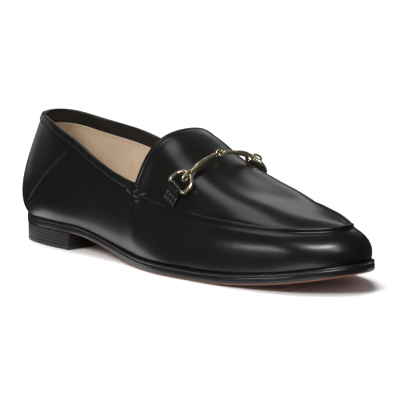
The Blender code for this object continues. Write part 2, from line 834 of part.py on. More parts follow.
def build_tab(side, tree):
    """Leather strap folded round the ring's straight bar, its two ends sewn to the apron."""
    middle, forward, up, out = ring_frame(side)
    ground = ground_under(tree, middle, forward, up, out)
    hole = tab_hole()
    loops = []
    for k in range(TAB_SECTIONS):
        across = TAB_WIDTH * (k / (TAB_SECTIONS - 1) - 0.5)
        centre = middle + forward * across

        def at(high, height):
            return centre + up * high + out * height

        def round_bar(degrees, radius):
            angle = math.radians(degrees)
            return at(radius * math.cos(angle), radius * math.sin(angle))

        loop = [at(-share * TAB_TAIL, ground(across, -share * TAB_TAIL)) for share in UNDER_SHARES]
        loop += [round_bar(degrees, hole + TAB_THICK) for degrees in LOOP_ANGLES]
        loop += [at(-share * TAB_TAIL, ground(across, -share * TAB_TAIL) + thick * TAB_THICK)
                 for share, thick in TAIL_TABLE[::-1]]
        loops.append((loop, [round_bar(degrees, hole) for degrees in HOLE_ANGLES]))
    size = len(HOLE_ANGLES)
    vertices = [point for pair in loops for loop in pair for point in loop]

    def corner(section, inside, i):
        return (2 * section + inside) * size + i % size

    faces = []
    for i in range(size):
        for k in range(TAB_SECTIONS - 1):
            for inside in (0, 1):
                faces.append([corner(k, inside, i), corner(k, inside, i + 1),
                              corner(k + 1, inside, i + 1), corner(k + 1, inside, i)])
        for k in (0, TAB_SECTIONS - 1):
            faces.append([corner(k, 0, i), corner(k, 0, i + 1),
                          corner(k, 1, i + 1), corner(k, 1, i)])
    add_object("bit_tab_" + side_name(side), vertices, faces, black_calf())


def helper(name, path, wire, plane):
    """Closed wire loop that a bar takes in by a union."""
    vertices, faces = tube(path, [wire / 2] * len(path), plane, closed=True)
    made = add_object(name, vertices, faces, pale_gold(), METAL_SHARP_ANGLE)
    made.hide_render = True
    made.display_type = "WIRE"
    return made


def eye(centre, along, square, name):
    """Round eye in the plane of two ways."""
    radius = (EYE_WIDTH - EYE_WIRE) / 2
    path = []
    for i in range(EYE_STEPS):
        angle = 2 * math.pi * i / EYE_STEPS
        path.append(centre + radius * (along * math.cos(angle) + square * math.sin(angle)))
    return helper(name, path, EYE_WIRE, np.cross(along, square))


def link(start, end, square, half, name):
    """Long eye round two end centres."""
    along = unit(end - start)
    path = []
    for centre, first in ((end, -math.pi / 2), (start, math.pi / 2)):
        for i in range(LINK_STEPS + 1):
            angle = first + math.pi * i / LINK_STEPS
            path.append(centre + half * (along * math.cos(angle) + square * math.sin(angle)))
    return helper(name, path, LINK_WIRE, np.cross(along, square))


def ring_hook(side):
    """Where the bar hooks the ring, and the ways up the ring and out of its plane."""
    middle, forward, up, out = tilted(side)
    return middle + up * (RING_DEPTH - RING_WIRE), forward, out


def bit_centre(tree):
    """Where the two halves of the bit meet, over the crown."""
    x, y, z = (ring_hook(-1)[0] + ring_hook(1)[0]) / 2
    hit = tree.ray_cast(Vector((x - BIT_BACK, y, z + INSTEP_HEIGHT)), Vector((0, 0, -1)))
    out = unit(hit[1])
    return np.array(hit[0]) + out * (EYE_WIDTH / 2 + GAP), out


# Half of the bit from its link to its eye. share: of its length; thick: of BAR_THICK
BAR_TABLE = (
    # share, thick
    (0.00, 0.56),
    (0.10, 0.66),
    (0.28, 1.00),
    (0.45, 0.92),
    (0.62, 0.70),
    (0.80, 0.66),
    (0.92, 0.62),
    (1.00, 0.58),
)


def build_bar(side, tree):
    """Half of the bit: a link through the ring, a swelling bar and an eye at the middle."""
    hook, forward, out = ring_hook(side)
    centre, crown_out = bit_centre(tree)
    control = (hook + centre) / 2 + unit(out + crown_out) * BAR_BOW * 2
    leave = unit(control - hook)
    arrive = unit(centre - control)
    half = RING_WIRE / 2 + GAP + LINK_WIRE / 2
    eye_radius = (EYE_WIDTH - EYE_WIRE) / 2
    eye_centre = centre - arrive * (eye_radius - EYE_OVERLAP)
    eye_square = crown_out if side < 0 else np.cross(arrive, crown_out)
    start = hook + leave * half
    end = eye_centre - arrive * eye_radius
    thick = hermite(column(BAR_TABLE, 0), column(BAR_TABLE, 1))
    marks = [i / BAR_STEPS for i in range(BAR_STEPS + 1)]
    path = [start * (1 - t)**2 + 2 * control * t * (1 - t) + end * t * t for t in marks]
    radii = [BAR_THICK / 2 * float(thick(t)) for t in marks]
    vertices, faces = tube(path, radii, forward)
    name = "bit_bar_" + side_name(side)
    bar = add_object(name, vertices, faces, pale_gold(), METAL_SHARP_ANGLE)
    square = unit(out - leave * np.dot(out, leave))
    parts = (link(hook - leave * LINK_INSIDE, hook, square, half, name + "_link"),
             eye(eye_centre, arrive, unit(eye_square - arrive * np.dot(arrive, eye_square)),
                 name + "_eye"))
    for part in parts:
        union = bar.modifiers.new(part.name, "BOOLEAN")
        union.operation = "UNION"
        union.solver = "EXACT"
        union.object = part


def stand_on_origin(holder):
    """Puts the origin under the middle of the whole shoe's box."""
    bpy.context.view_layer.update()
    corners = []
    for item in holder.children:
        if not item.hide_render:
            corners += [vertex.co[:] for vertex in item.data.vertices]
    corners = np.array(corners)
    low, high = corners.min(axis=0), corners.max(axis=0)
    holder.location = (-(low[0] + high[0]) / 2, -(low[1] + high[1]) / 2, -low[2])
    bpy.context.view_layer.update()


def clear_scene():
    for item in list(bpy.data.objects):
        bpy.data.objects.remove(item, do_unlink=True)


def main():
    clear_scene()
    holder = bpy.data.objects.new("loafer", None)
    bpy.context.collection.objects.link(holder)
    build_sole()
    build_heel()
    build_insole()
    points, faces = build_upper()
    tree = BVHTree.FromPolygons([tuple(point) for point in points], faces)
    for side in (-1, 1):
        build_tab(side, tree)
        build_ring(side)
        build_bar(side, tree)
    stand_on_origin(holder)


main()
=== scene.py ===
"""Looks of the bit loafer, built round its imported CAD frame. Metres, +Z up, toe towards +X.

The shape functions and tables repeat those of the CAD source, in its own frame, where the heel's
back is at x = 0. SHIFT moves every piece from there into the row's frame.
"""
import math

import bmesh
import bpy
import numpy as np
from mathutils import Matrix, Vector
from mathutils.bvhtree import BVHTree


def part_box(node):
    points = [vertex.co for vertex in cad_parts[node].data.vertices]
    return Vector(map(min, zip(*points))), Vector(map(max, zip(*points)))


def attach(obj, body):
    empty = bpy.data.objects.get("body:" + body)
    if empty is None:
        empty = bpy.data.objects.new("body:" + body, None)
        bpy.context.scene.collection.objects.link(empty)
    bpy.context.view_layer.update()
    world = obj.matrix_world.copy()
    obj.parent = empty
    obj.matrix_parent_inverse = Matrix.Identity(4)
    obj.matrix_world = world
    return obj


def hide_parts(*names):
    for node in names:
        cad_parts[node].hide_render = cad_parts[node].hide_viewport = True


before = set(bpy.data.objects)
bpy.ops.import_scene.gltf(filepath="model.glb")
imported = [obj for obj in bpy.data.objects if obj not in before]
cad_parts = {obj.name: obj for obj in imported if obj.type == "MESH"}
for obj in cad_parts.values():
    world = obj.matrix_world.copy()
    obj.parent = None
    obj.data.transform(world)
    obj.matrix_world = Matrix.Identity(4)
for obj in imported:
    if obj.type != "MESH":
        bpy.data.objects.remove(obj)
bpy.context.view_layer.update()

# Sizes shared with the CAD source
SOLE_LENGTH = 0.262
BALL_WIDTH = 0.082
SOLE_THICK = 0.0063
WAIST_THIN = 0.80
HEEL_LENGTH = 0.057
HEEL_HEIGHT = 0.0107
LIFT_THICK = 0.0030
TOE_SPRING = 0.0105
LEDGE = 0.0020
LEDGE_AT_HEEL = 0.45
HEEL_BACK_RADIUS = 0.027
TOE_RADIUS = 0.019
COLLAR_HEIGHT = 0.0628
APRON_HEIGHT = 0.0300
INSTEP_HEIGHT = 0.0715
COLLAR_SET_FORWARD = 0.0115
APRON_SET_BACK = 0.014
COLLAR_BACK_RADIUS = 0.020
APRON_TIP_RADIUS = 0.016
COLLAR_WIDTH = 0.068
WALL = 0.0019
INSOLE_THICK = 0.0020
INSOLE_PLAY = 0.0006
COLLAR_BAND = 0.0042
COLLAR_BAND_STEP = 0.0004
HEEL_INSET = 0.0004
BIT_SHARE = 0.2685
RING_FROM_SEAM = 0.0122
RING_WIRE = 0.0020
RING_WIDTH = 0.0165
RING_DEPTH = 0.0122
RING_TILT = 10.0
RING_TURN = 22.0
RING_LIFT = 0.0004
RING_CORNER = 0.0022
TAB_WIDTH = 0.0098
TAB_THICK = 0.0011
TAB_TAIL = 0.0076
HOLE_PLAY = 0.0001
BAR_THICK = 0.0032
BAR_BOW = 0.0017
BIT_BACK = 0.0044
EYE_WIRE = 0.0016
EYE_WIDTH = 0.0062
EYE_OVERLAP = 0.0010
LINK_WIRE = 0.0014
LINK_INSIDE = 0.0034
GAP = 0.0003
TINY = 1e-3
TOE_CENTRE = 0.120
WAIST_FROM = 0.30
FLAT_FROM, FLAT_TO = 0.50, 0.64
LEDGE_FROM, LEDGE_FULL = 0.25, 0.55
JUNCTION = 0.4537
COLLAR_END, APRON_START = 0.448, 0.510
JUNCTION_BLEND = 0.08
SEAM_REACH, CROWN_REACH = 0.50, 0.48
SPINE_FORWARD = 0.0048
THROAT_FORWARD = 0.0036
THROAT_LEAN = 0.0058
LEAN_REACH = 0.30
SPINE_STOP = 0.020
BIT_STEP = 0.02
ARCH_WIDE, ARCH_DEEP, FOOT_SQUARE = 0.80, 0.75, 0.45

SOLE_TABLE = (
    # share, half, centre
    (0.05, 0.530, -0.005),
    (0.15, 0.685, 0.005),
    (0.30, 0.690, -0.035),
    (0.45, 0.758, -0.125),
    (0.55, 0.875, -0.150),
    (0.65, 0.962, -0.055),
    (0.75, 0.990, 0.020),
    (0.85, 0.878, 0.062),
    (0.93, 0.660, 0.098),
)
TOP_TABLE = (
    # share, half, centre, outer, inner
    (0.000, 0.000, 0.000, 1.000, 1.000),
    (0.050, 0.500, -0.006, 0.980, 0.958),
    (0.121, 0.670, -0.022, 0.922, 0.900),
    (0.196, 0.730, -0.022, 0.825, 0.860),
    (0.280, 0.788, -0.022, 0.722, 0.820),
    (0.375, 0.859, -0.022, 0.668, 0.774),
    (0.450, 0.929, -0.018, 0.658, 0.718),
    (0.480, 0.954, -0.014, 0.800, 0.925),
    (0.510, 0.974, -0.011, 1.120, 1.305),
    (0.571, 1.006, -0.006, 1.050, 1.205),
    (0.675, 1.035, 0.022, 0.990, 1.130),
    (0.779, 0.990, 0.040, 0.915, 1.020),
    (0.862, 0.862, 0.045, 0.830, 0.870),
    (0.933, 0.625, 0.060, 0.750, 0.720),
    (0.979, 0.335, 0.085, 0.695, 0.680),
    (1.000, 0.000, 0.100, 0.680, 0.680),
)
RIB_TABLE = (
    # share, foot, top, foot_reach, top_reach
    (0.00, 42.0, 20.0, 0.26, 0.40),
    (0.10, 36.0, 14.0, 0.24, 0.40),
    (0.25, 24.0, 10.0, 0.26, 0.38),
    (0.45, 20.0, 22.0, 0.30, 0.34),
    (0.60, 16.0, 38.0, 0.34, 0.34),
    (0.80, 14.0, 56.0, 0.38, 0.38),
    (1.00, 16.0, 66.0, 0.43, 0.42),
)
CROWN_TABLE = (
    # share, height, rise, centre
    (0.00, 1.020, 81.0, 0.10),
    (0.13, 0.938, 79.0, 0.12),
    (0.25, 0.820, 76.0, 0.11),
    (0.39, 0.700, 68.0, 0.08),
    (0.53, 0.612, 55.0, 0.06),
    (0.67, 0.545, 42.0, 0.07),
    (0.81, 0.480, 30.0, 0.09),
    (1.00, 0.390, 18.0, 0.10),
)
BAR_TABLE = (
    # share, thick
    (0.00, 0.56),
    (0.10, 0.66),
    (0.28, 1.00),
    (0.45, 0.92),
    (0.62, 0.70),
    (0.80, 0.66),
    (0.92, 0.62),
    (1.00, 0.58),
)

# Finer steps of the looks
REAR_COLUMNS, FORE_COLUMNS = 110, 150
WALL_ROWS, APRON_ROWS = 34, 20
EDGE_MARKS = (0.0085, 0.0079, 0.0070, 0.0062, 0.0055, 0.0050, 0.0046, 0.0043, 0.0041, 0.0039,
              0.0036, 0.0033, 0.0030, 0.00275, 0.0025, 0.00225, 0.0020, 0.00175, 0.0015,
              0.00125, 0.0010, 0.00075, 0.0005, 0.00025, 0.0)
APRON_MARKS = (0.0045, 0.0038, 0.0032, 0.0027, 0.0023, 0.0019, 0.0016, 0.0013, 0.0010,
               0.0008, 0.0006, 0.0004, 0.0002, 0.0)
THROAT_MARKS = (0.0, 0.0004, 0.0008, 0.0012, 0.0016, 0.0019, 0.0022, 0.0025, 0.0028, 0.0034,
                0.0042, 0.0050, 0.0060)

# Seam across the wall's edge and across the apron's edge: distance from the seam in mm and lift
# as a share of SEAM_PROUD
SEAM_WALL = ((0.0, 0.92), (0.5, 1.00), (0.95, 0.98), (1.25, 0.80), (1.5, 0.45), (1.75, 0.12),
             (2.1, -0.12), (2.8, -0.14), (3.8, -0.06), (5.2, 0.0))
SEAM_APRON = ((0.0, 0.92), (0.3, 0.74), (0.55, 0.38), (0.8, 0.06), (1.1, -0.12), (1.6, -0.13),
              (2.4, -0.05), (3.4, 0.0))
SEAM_PROUD = 0.0017

# Edge of the heel's stiffener under the leather: share of the top line, share of the way up
COUNTER_LINE = ((0.187, 0.853), (0.161, 0.700), (0.142, 0.552), (0.1105, 0.404),
                (0.090, 0.279), (0.0717, 0.178))
CREST_LIFT = 0.0009
CREST_WIDTH = 0.0095
COUNTER_STEP = 0.00042
COUNTER_RIDGE = 0.00034
BAND_PILLOW = 0.00022
BAND_GROOVE = 0.00030
BORDER_GROOVE = 0.00034
BORDER_FROM_EDGE = 0.0025
THROAT_ROUND = 0.00025
UNEVEN = 0.00006


def spline(xs, ys):
    """Natural cubic through the points, as a function."""
    xs = np.asarray(xs, float)
    ys = np.asarray(ys, float)
    count = len(xs)
    gaps = np.diff(xs)
    matrix = np.eye(count)
    right = np.zeros(count)
    for i in range(1, count - 1):
        matrix[i, i - 1:i + 2] = gaps[i - 1], 2 * (gaps[i - 1] + gaps[i]), gaps[i]
        right[i] = 6 * ((ys[i + 1] - ys[i]) / gaps[i] - (ys[i] - ys[i - 1]) / gaps[i - 1])
    bends = np.linalg.solve(matrix, right)

    def value(x):
        x = np.asarray(x, float)
        i = np.clip(np.searchsorted(xs, x) - 1, 0, count - 2)
        before = x - xs[i]
        after = xs[i + 1] - x
        gap = gaps[i]
        curve = (bends[i] * after**3 + bends[i + 1] * before**3) / (6 * gap)
        curve = curve + (ys[i] / gap - bends[i] * gap / 6) * after
        return curve + (ys[i + 1] / gap - bends[i + 1] * gap / 6) * before

    return value


def hermite(xs, ys):
    """Smooth curve through the points that never overshoots them."""
    xs = np.asarray(xs, float)
    ys = np.asarray(ys, float)
    steps = np.diff(ys) / np.diff(xs)
    slopes = np.zeros(len(xs))
    for i in range(1, len(xs) - 1):
        if steps[i - 1] * steps[i] > 0:
            slopes[i] = 2 * steps[i - 1] * steps[i] / (steps[i - 1] + steps[i])
    slopes[0] = steps[0]
    slopes[-1] = steps[-1]

    def value(x):
        x = np.clip(np.asarray(x, float), xs[0], xs[-1])
        i = np.clip(np.searchsorted(xs, x) - 1, 0, len(xs) - 2)
        gap = xs[i + 1] - xs[i]
        t = (x - xs[i]) / gap
        start = (1 + 2 * t) * (1 - t)**2 * ys[i] + t * (1 - t)**2 * gap * slopes[i]
        return start + t**2 * (3 - 2 * t) * ys[i + 1] + t**2 * (t - 1) * gap * slopes[i + 1]

    return value


def smooth(t):
    t = np.clip(t, 0.0, 1.0)
    return t * t * (3 - 2 * t)


def unit(vector):
    vector = np.asarray(vector, float)
    return vector / np.linalg.norm(vector)


def reached(points):
    """Length reached at each point of a line."""
    return np.concatenate([[0], np.cumsum(np.linalg.norm(np.diff(points, axis=0), axis=1))])


def spaced(first, last, step):
    """Every step-th number from the first, and the last."""
    return list(range(first, last, step)) + [last]


def half_turn(count):
    return [math.pi * i / count for i in range(count + 1)]


def column(table, index):
    return [row[index] for row in table]


def share_of(theta):
    return (1 - math.cos(theta)) / 2


def angle_of(share):
    return math.acos(1 - 2 * share)


def round_ended(table, unit_size, length, back_radius, front_radius):
    """Half width over the sine of the angle, which rounds both ends of an outline."""
    shares = [0.0]
    values = [math.sqrt(back_radius * length / 2)]
    for row in table:
        if 0 < row[0] < 1:
            shares.append(row[0])
            values.append(row[1] * unit_size / (2 * math.sqrt(row[0] * (1 - row[0]))))
    shares.append(1.0)
    values.append(math.sqrt(front_radius * length / 2))
    return spline(shares, values)


SOLE_HALF = round_ended(SOLE_TABLE, BALL_WIDTH / 2, SOLE_LENGTH, HEEL_BACK_RADIUS, TOE_RADIUS)
SOLE_CENTRE = spline([0.0] + column(SOLE_TABLE, 0) + [1.0],
                     [0.0] + column(SOLE_TABLE, 2) + [TOE_CENTRE])
TOP_LENGTH = SOLE_LENGTH - COLLAR_SET_FORWARD - APRON_SET_BACK
TOP_HALF = round_ended(TOP_TABLE, COLLAR_WIDTH / 2, TOP_LENGTH, COLLAR_BACK_RADIUS,
                       APRON_TIP_RADIUS)
TOP_CENTRE = spline(column(TOP_TABLE, 0), column(TOP_TABLE, 2))
TOP_OUTER = hermite(column(TOP_TABLE, 0), column(TOP_TABLE, 3))
TOP_INNER = hermite(column(TOP_TABLE, 0), column(TOP_TABLE, 4))
RIB_FOOT, RIB_TOP, RIB_FOOT_REACH, RIB_TOP_REACH = (
    spline(column(RIB_TABLE, 0), column(RIB_TABLE, k)) for k in (1, 2, 3, 4))
CROWN_HEIGHT, CROWN_RISE, CROWN_CENTRE = (
    spline(column(CROWN_TABLE, 0), column(CROWN_TABLE, k)) for k in (1, 2, 3))
THROAT = angle_of(JUNCTION)


def sole_under(x):
    """Height of the sole's underside: heel seat, arch, flat ball and toe spring."""
    share = x / SOLE_LENGTH
    seat = HEEL_LENGTH / SOLE_LENGTH
    arch = HEEL_HEIGHT * smooth((FLAT_FROM - share) / (FLAT_FROM - seat))
    toe = max(0.0, (share - FLAT_TO) / (1 - FLAT_TO))
    return float(arch + TOE_SPRING * toe**2)


def sole_thickness(x):
    full = float(smooth((x / SOLE_LENGTH - WAIST_FROM) / (FLAT_FROM - WAIST_FROM)))
    return SOLE_THICK * (WAIST_THIN + (1 - WAIST_THIN) * full)


def sole_top(x):
    return sole_under(x) + sole_thickness(x)


def sole_plan(theta, side):
    share = share_of(theta)
    half = float(SOLE_HALF(share)) * math.sin(theta)
    centre = float(SOLE_CENTRE(share)) * BALL_WIDTH / 2
    return np.array([share * SOLE_LENGTH, centre + side * half])


def plan_normal(curve, theta, side):
    """Outward normal in plan of a curve that runs from the back to the front."""
    if theta < TINY:
        return np.array([-1.0, 0.0])
    if theta > math.pi - TINY:
        return np.array([1.0, 0.0])
    along = unit(curve(theta + TINY) - curve(theta - TINY))
    return np.array([-along[1] * side, along[0] * side])


def sole_edge(theta, side, inset):
    """Point of the sole's outline moved inwards by inset."""
    return sole_plan(theta, side) - inset * plan_normal(lambda a: sole_plan(a, side), theta, side)


def feather_inset(theta):
    full = float(smooth((share_of(theta) - LEDGE_FROM) / (LEDGE_FULL - LEDGE_FROM)))
    return LEDGE * (LEDGE_AT_HEEL + (1 - LEDGE_AT_HEEL) * full)


def top_plan(theta, side):
    share = share_of(theta)
    half = float(TOP_HALF(share)) * math.sin(theta)
    centre = float(TOP_CENTRE(share)) * COLLAR_WIDTH / 2
    return np.array([COLLAR_SET_FORWARD + share * TOP_LENGTH, centre + side * half])


def top_point(theta, side):
    """Point of the collar's edge or of the apron seam."""
    x, y = top_plan(theta, side)
    share = share_of(theta)
    apron = float(smooth((share - COLLAR_END) / (APRON_START - COLLAR_END)))
    size = COLLAR_HEIGHT + (APRON_HEIGHT - COLLAR_HEIGHT) * apron
    height = float(TOP_OUTER(share) if side < 0 else TOP_INNER(share)) * size
    return np.array([x, y, sole_top(x) + height])


def bezier(points, t):
    a, b, c, d = points
    t = np.asarray(t, float)[..., None]
    return a * (1 - t)**3 + 3 * b * t * (1 - t)**2 + 3 * c * t * t * (1 - t) + d * t**3


def wall_rib(theta, side):
    """Control points of the wall's rib from the feather line to the top line."""
    share = share_of(theta)
    foot_plan = sole_edge(theta, side, feather_inset(theta))
    foot = np.array([*foot_plan, sole_top(foot_plan[0]) + GAP])
    top = top_point(theta, side)
    reach = np.linalg.norm(top - foot)
    out_foot = plan_normal(lambda a: sole_plan(a, side), theta, side)
    out_top = plan_normal(lambda a: top_plan(a, side), theta, side)
    foot_lean = math.radians(float(RIB_FOOT(share)))
    top_lean = math.radians(float(RIB_TOP(share)))
    foot_way = np.array([*(out_foot * math.sin(foot_lean)), math.cos(foot_lean)])
    top_way = np.array([*(-out_top * math.sin(top_lean)), math.cos(top_lean)])
    foot_handle = foot + foot_way * reach * float(RIB_FOOT_REACH(share))
    top_handle = top - top_way * reach * float(RIB_TOP_REACH(share))
    return foot, foot_handle, top_handle, top


def spine_range():
    back = top_plan(THROAT, 1)[0] + SPINE_FORWARD
    front = COLLAR_SET_FORWARD + TOP_LENGTH - SPINE_STOP
    return back, front


def crown_height(x):
    back, front = spine_range()
    share = (x - back) / (front - back)
    return sole_top(x) + float(CROWN_HEIGHT(share)) * INSTEP_HEIGHT


def throat_fade(share):
    """One at the throat's edge, nothing from LEAN_REACH of the apron on."""
    return 1 - float(smooth(share / LEAN_REACH))


def spine_point(theta):
    back, front = spine_range()
    share = (share_of(theta) - JUNCTION) / (1 - JUNCTION)
    x = back + (front - back) * share + THROAT_FORWARD * throat_fade(share)
    y = float(CROWN_CENTRE(share)) * COLLAR_WIDTH / 2
    return np.array([x, y, crown_height(x)]), share


def apron_rib(theta, side):
    """Control points of the apron's rib from the seam to the middle line."""
    seam = top_point(theta, side)
    middle, share = spine_point(theta)
    rise = math.radians(float(CROWN_RISE(share)))
    across = unit(middle[:2] - seam[:2])
    reach = np.linalg.norm(middle - seam)
    slope = (crown_height(middle[0] + TINY) - crown_height(middle[0] - TINY)) / (2 * TINY)
    rising = np.array([*(across * math.cos(rise)), math.sin(rise)])
    fade = throat_fade(share)
    ahead = across[0] * (1 - fade)
    landing = np.array([ahead, across[1], slope * ahead])
    handle = seam + rising * reach * SEAM_REACH
    handle[0] += THROAT_LEAN * fade
    return seam, handle, middle - landing * reach * CROWN_REACH, middle


def rib_lengths(rib):
    marks = np.linspace(0, 1, 300)
    return marks, reached(bezier(rib, marks))


def rows_by_length(rib, from_end, rows):
    """Parameters on a rib and their distances from its end: even rows, then fixed distances."""
    marks, lengths = rib_lengths(rib)
    total = lengths[-1]
    squeeze = min(1.0, total * 0.42 / from_end[0])
    first = total - from_end[0] * squeeze
    wanted = [first * i / rows for i in range(rows)]
    wanted += [total - distance * squeeze for distance in from_end]
    wanted = np.array(wanted)
    return np.interp(wanted, lengths, marks), total - wanted


def own_low_y():
    count = 40
    return min(sole_plan(math.pi * i / count, -1)[1] for i in range(count + 1))


SHIFT = np.array([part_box("outsole")[0][0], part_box("outsole")[0][1] - own_low_y(), 0.0])


def add_mesh(name, vertices, faces, finishes, face_slots=None, angle=None):
    """New smooth piece in the row's frame, riding on the root body."""
    mesh = bpy.data.meshes.new(name)
    shifted = np.asarray(vertices, float) + SHIFT
    mesh.from_pydata([tuple(v) for v in shifted], [], faces)
    if face_slots is not None:
        mesh.polygons.foreach_set("material_index", face_slots)
    mesh.validate()
    mesh.update()
    mesh.shade_smooth()
    if angle:
        mesh.set_sharp_from_angle(angle=math.radians(angle))
    for finish in finishes:
        mesh.materials.append(finish)
    made = bpy.data.objects.new(name, mesh)
    bpy.context.collection.objects.link(made)
    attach(made, "root")
    return made


def strips(lines, closed=False):
    """Faces between each row of vertex numbers and the next; closed joins a row's two ends."""
    faces = []
    for here, ahead in zip(lines, lines[1:]):
        count = len(here)
        for k in range(count if closed else count - 1):
            n = (k + 1) % count
            faces.append([here[k], here[n], ahead[n], ahead[k]])
    return faces


def numbered(rows, size):
    """Vertex numbers of rows that were added one after another."""
    return [[row * size + k for k in range(size)] for row in range(rows)]


def distinct(corners):
    """The corners in order, each one once."""
    return list(dict.fromkeys(corners))


def outward(made):
    """Turns the faces of a closed piece outwards."""
    work = bmesh.new()
    work.from_mesh(made.data)
    bmesh.ops.recalc_face_normals(work, faces=work.faces)
    work.to_mesh(made.data)
    work.free()


def vertex_normals(points, faces):
    """Area weighted normals, for quads and triangles padded with their last corner."""
    corners = points[faces]
    normal = np.cross(corners[:, 2] - corners[:, 0], corners[:, 3] - corners[:, 1])
    total = np.zeros_like(points)
    for k in range(4):
        np.add.at(total, faces[:, k], normal)
    return total / np.maximum(np.linalg.norm(total, axis=1), 1e-15)[:, None]


class Upper:
    """Fine base surface of the upper, between the outer and the inner skin."""

    def __init__(self):
        rear = [THROAT * i / REAR_COLUMNS for i in range(REAR_COLUMNS)]
        start = top_plan(THROAT, 1)[0]
        throat = [angle_of((start + mark - COLLAR_SET_FORWARD) / TOP_LENGTH)
                  for mark in THROAT_MARKS]
        first = throat[-1]
        rest = [first + (math.pi - first) * i / FORE_COLUMNS for i in range(1, FORE_COLUMNS + 1)]
        self.angles = rear + throat + rest
        self.rear = REAR_COLUMNS
        self.last = len(self.angles) - 1
        self.wall_rows = WALL_ROWS + len(EDGE_MARKS)
        self.half_rows = APRON_ROWS + len(APRON_MARKS)
        self.points = []
        self.info = []
        self.build_wall()
        self.build_apron()
        self.points = np.array(self.points)
        self.info = np.array(self.info)
        self.faces = np.array(self.wall_faces() + self.apron_faces())
        self.normals = vertex_normals(self.points, self.faces)

    def add(self, point, *info):
        self.points.append(point)
        self.info.append(info)
        return len(self.points) - 1

    def build_wall(self):
        """wall[side][i][j]: i from the back to the toe, j from the foot to the top line.

        Each point's info: 0 on the wall, side, share of the top line, distance from its edge,
        share of the way up (on the apron: distance from its middle line), distance from the
        throat's edge.
        """
        self.wall = {-1: [], 1: []}
        for side in (-1, 1):
            for i, theta in enumerate(self.angles):
                if side > 0 and i in (0, self.last):
                    self.wall[1].append(self.wall[-1][i])
                    continue
                rib = wall_rib(theta, side)
                marks, distances = rows_by_length(rib, EDGE_MARKS, WALL_ROWS)
                points = bezier(rib, marks)
                total = distances[0]
                self.wall[side].append([
                    self.add(point, 0, side, share_of(theta), distance, 1 - distance / total, 1.0)
                    for point, distance in zip(points, distances)])

    def build_apron(self):
        """apron[i][q]: i from the throat to the toe, q from the outer seam to the inner one."""
        self.apron = []
        half = self.half_rows - 1
        for i in range(self.rear, self.last + 1):
            theta = self.angles[i]
            row = {}
            middle = None
            for side in (-1, 1):
                rib = apron_rib(theta, side)
                marks, distances = rows_by_length(rib[::-1], APRON_MARKS, APRON_ROWS)
                points = bezier(rib[::-1], marks)
                for j, (point, distance) in enumerate(zip(points, distances)):
                    q = half - j
                    if q == 0:
                        row[side, 0] = self.wall[side][i][-1]
                    elif j == 0 and middle is not None:
                        row[side, q] = middle
                    elif i == self.last and side > 0:
                        row[side, q] = row[-1, q]
                    else:
                        throat = self.points[self.wall[-1][self.rear][-1]][0]
                        away = self.points[self.wall[side][i][-1]][0] - throat
                        row[side, q] = self.add(point, 1, side, share_of(theta), distance,
                                                distances[0] - distance, away)
                        if j == 0:
                            middle = row[side, q]
            line = [row[-1, q] for q in range(half + 1)]
            line += [row[1, q] for q in range(half - 1, -1, -1)]
            self.apron.append(line)

    def wall_faces(self):
        faces = []
        for side in (-1, 1):
            for i in range(self.last):
                here, ahead = self.wall[side][i], self.wall[side][i + 1]
                for j in range(self.wall_rows - 1):
                    quad = [here[j], ahead[j], ahead[j + 1], here[j + 1]]
                    faces.append(quad if side < 0 else quad[::-1])
        return faces

    def apron_faces(self):
        return [face[:1] + face[:0:-1] for face in strips(self.apron)]


def seam_strength(share):
    """The seam's ridge is low at the junction and full at the toe."""
    start = smooth((share - JUNCTION) / 0.05)
    return start * (0.62 + 0.38 * smooth((share - 0.60) / 0.25))


def relief(upper):
    """Lift of each point of the outer skin along its normal."""
    info = upper.info
    apron = info[:, 0] > 0.5
    side, share, edge, up, throat = (info[:, k] for k in range(1, 6))
    profile_wall = hermite(np.array(column(SEAM_WALL, 0)) * 1e-3, column(SEAM_WALL, 1))
    profile_apron = hermite(np.array(column(SEAM_APRON, 0)) * 1e-3, column(SEAM_APRON, 1))
    strength = seam_strength(share)
    across = edge / (0.55 + 0.45 * smooth((share - 0.49) / 0.15))
    seam = np.where(apron, profile_apron(across), profile_wall(across)) * strength * SEAM_PROUD
    collar = 1 - smooth((share - COLLAR_END) / JUNCTION_BLEND)
    band = smooth((COLLAR_BAND + 0.0002 - edge) / 0.0005)
    pillow = BAND_PILLOW * np.sin(np.pi * np.clip(edge / COLLAR_BAND, 0, 1))
    groove = -BAND_GROOVE * np.exp(-((edge - COLLAR_BAND - 0.0004) / 0.00035)**2)
    lift = seam + np.where(apron, 0, (COLLAR_BAND_STEP * band + pillow + groove) * collar)
    border = -BORDER_GROOVE * np.exp(-((throat - BORDER_FROM_EDGE) / 0.0005)**2)
    border = border - THROAT_ROUND * smooth((0.0007 - throat) / 0.0007)
    lift = lift + np.where(apron, border * smooth(edge / 0.002), 0)
    crest = CREST_LIFT * smooth((share - 0.53) / 0.10) * smooth((0.86 - share) / 0.14)
    lift = lift + np.where(apron, crest * np.exp(-(up / CREST_WIDTH)**2) * smooth(edge / 0.01), 0)
    return lift + creases(upper.points, side, share, up, apron)


# Soft folds of the leather, as lines in the shoe's own frame. Each is a side, two ends as shares
# of the top line's length and of the way up the wall, a half width in mm and a lift in mm
WALL_FOLDS = (
    # side, share0, up0, share1, up1, half_width, lift
    (-1, 0.330, 0.10, 0.300, 0.75, 9.0, 0.35),
    (-1, 0.430, 0.15, 0.440, 0.80, 9.0, -0.30),
    (1, 0.330, 0.15, 0.320, 0.75, 9.0, 0.30),
)


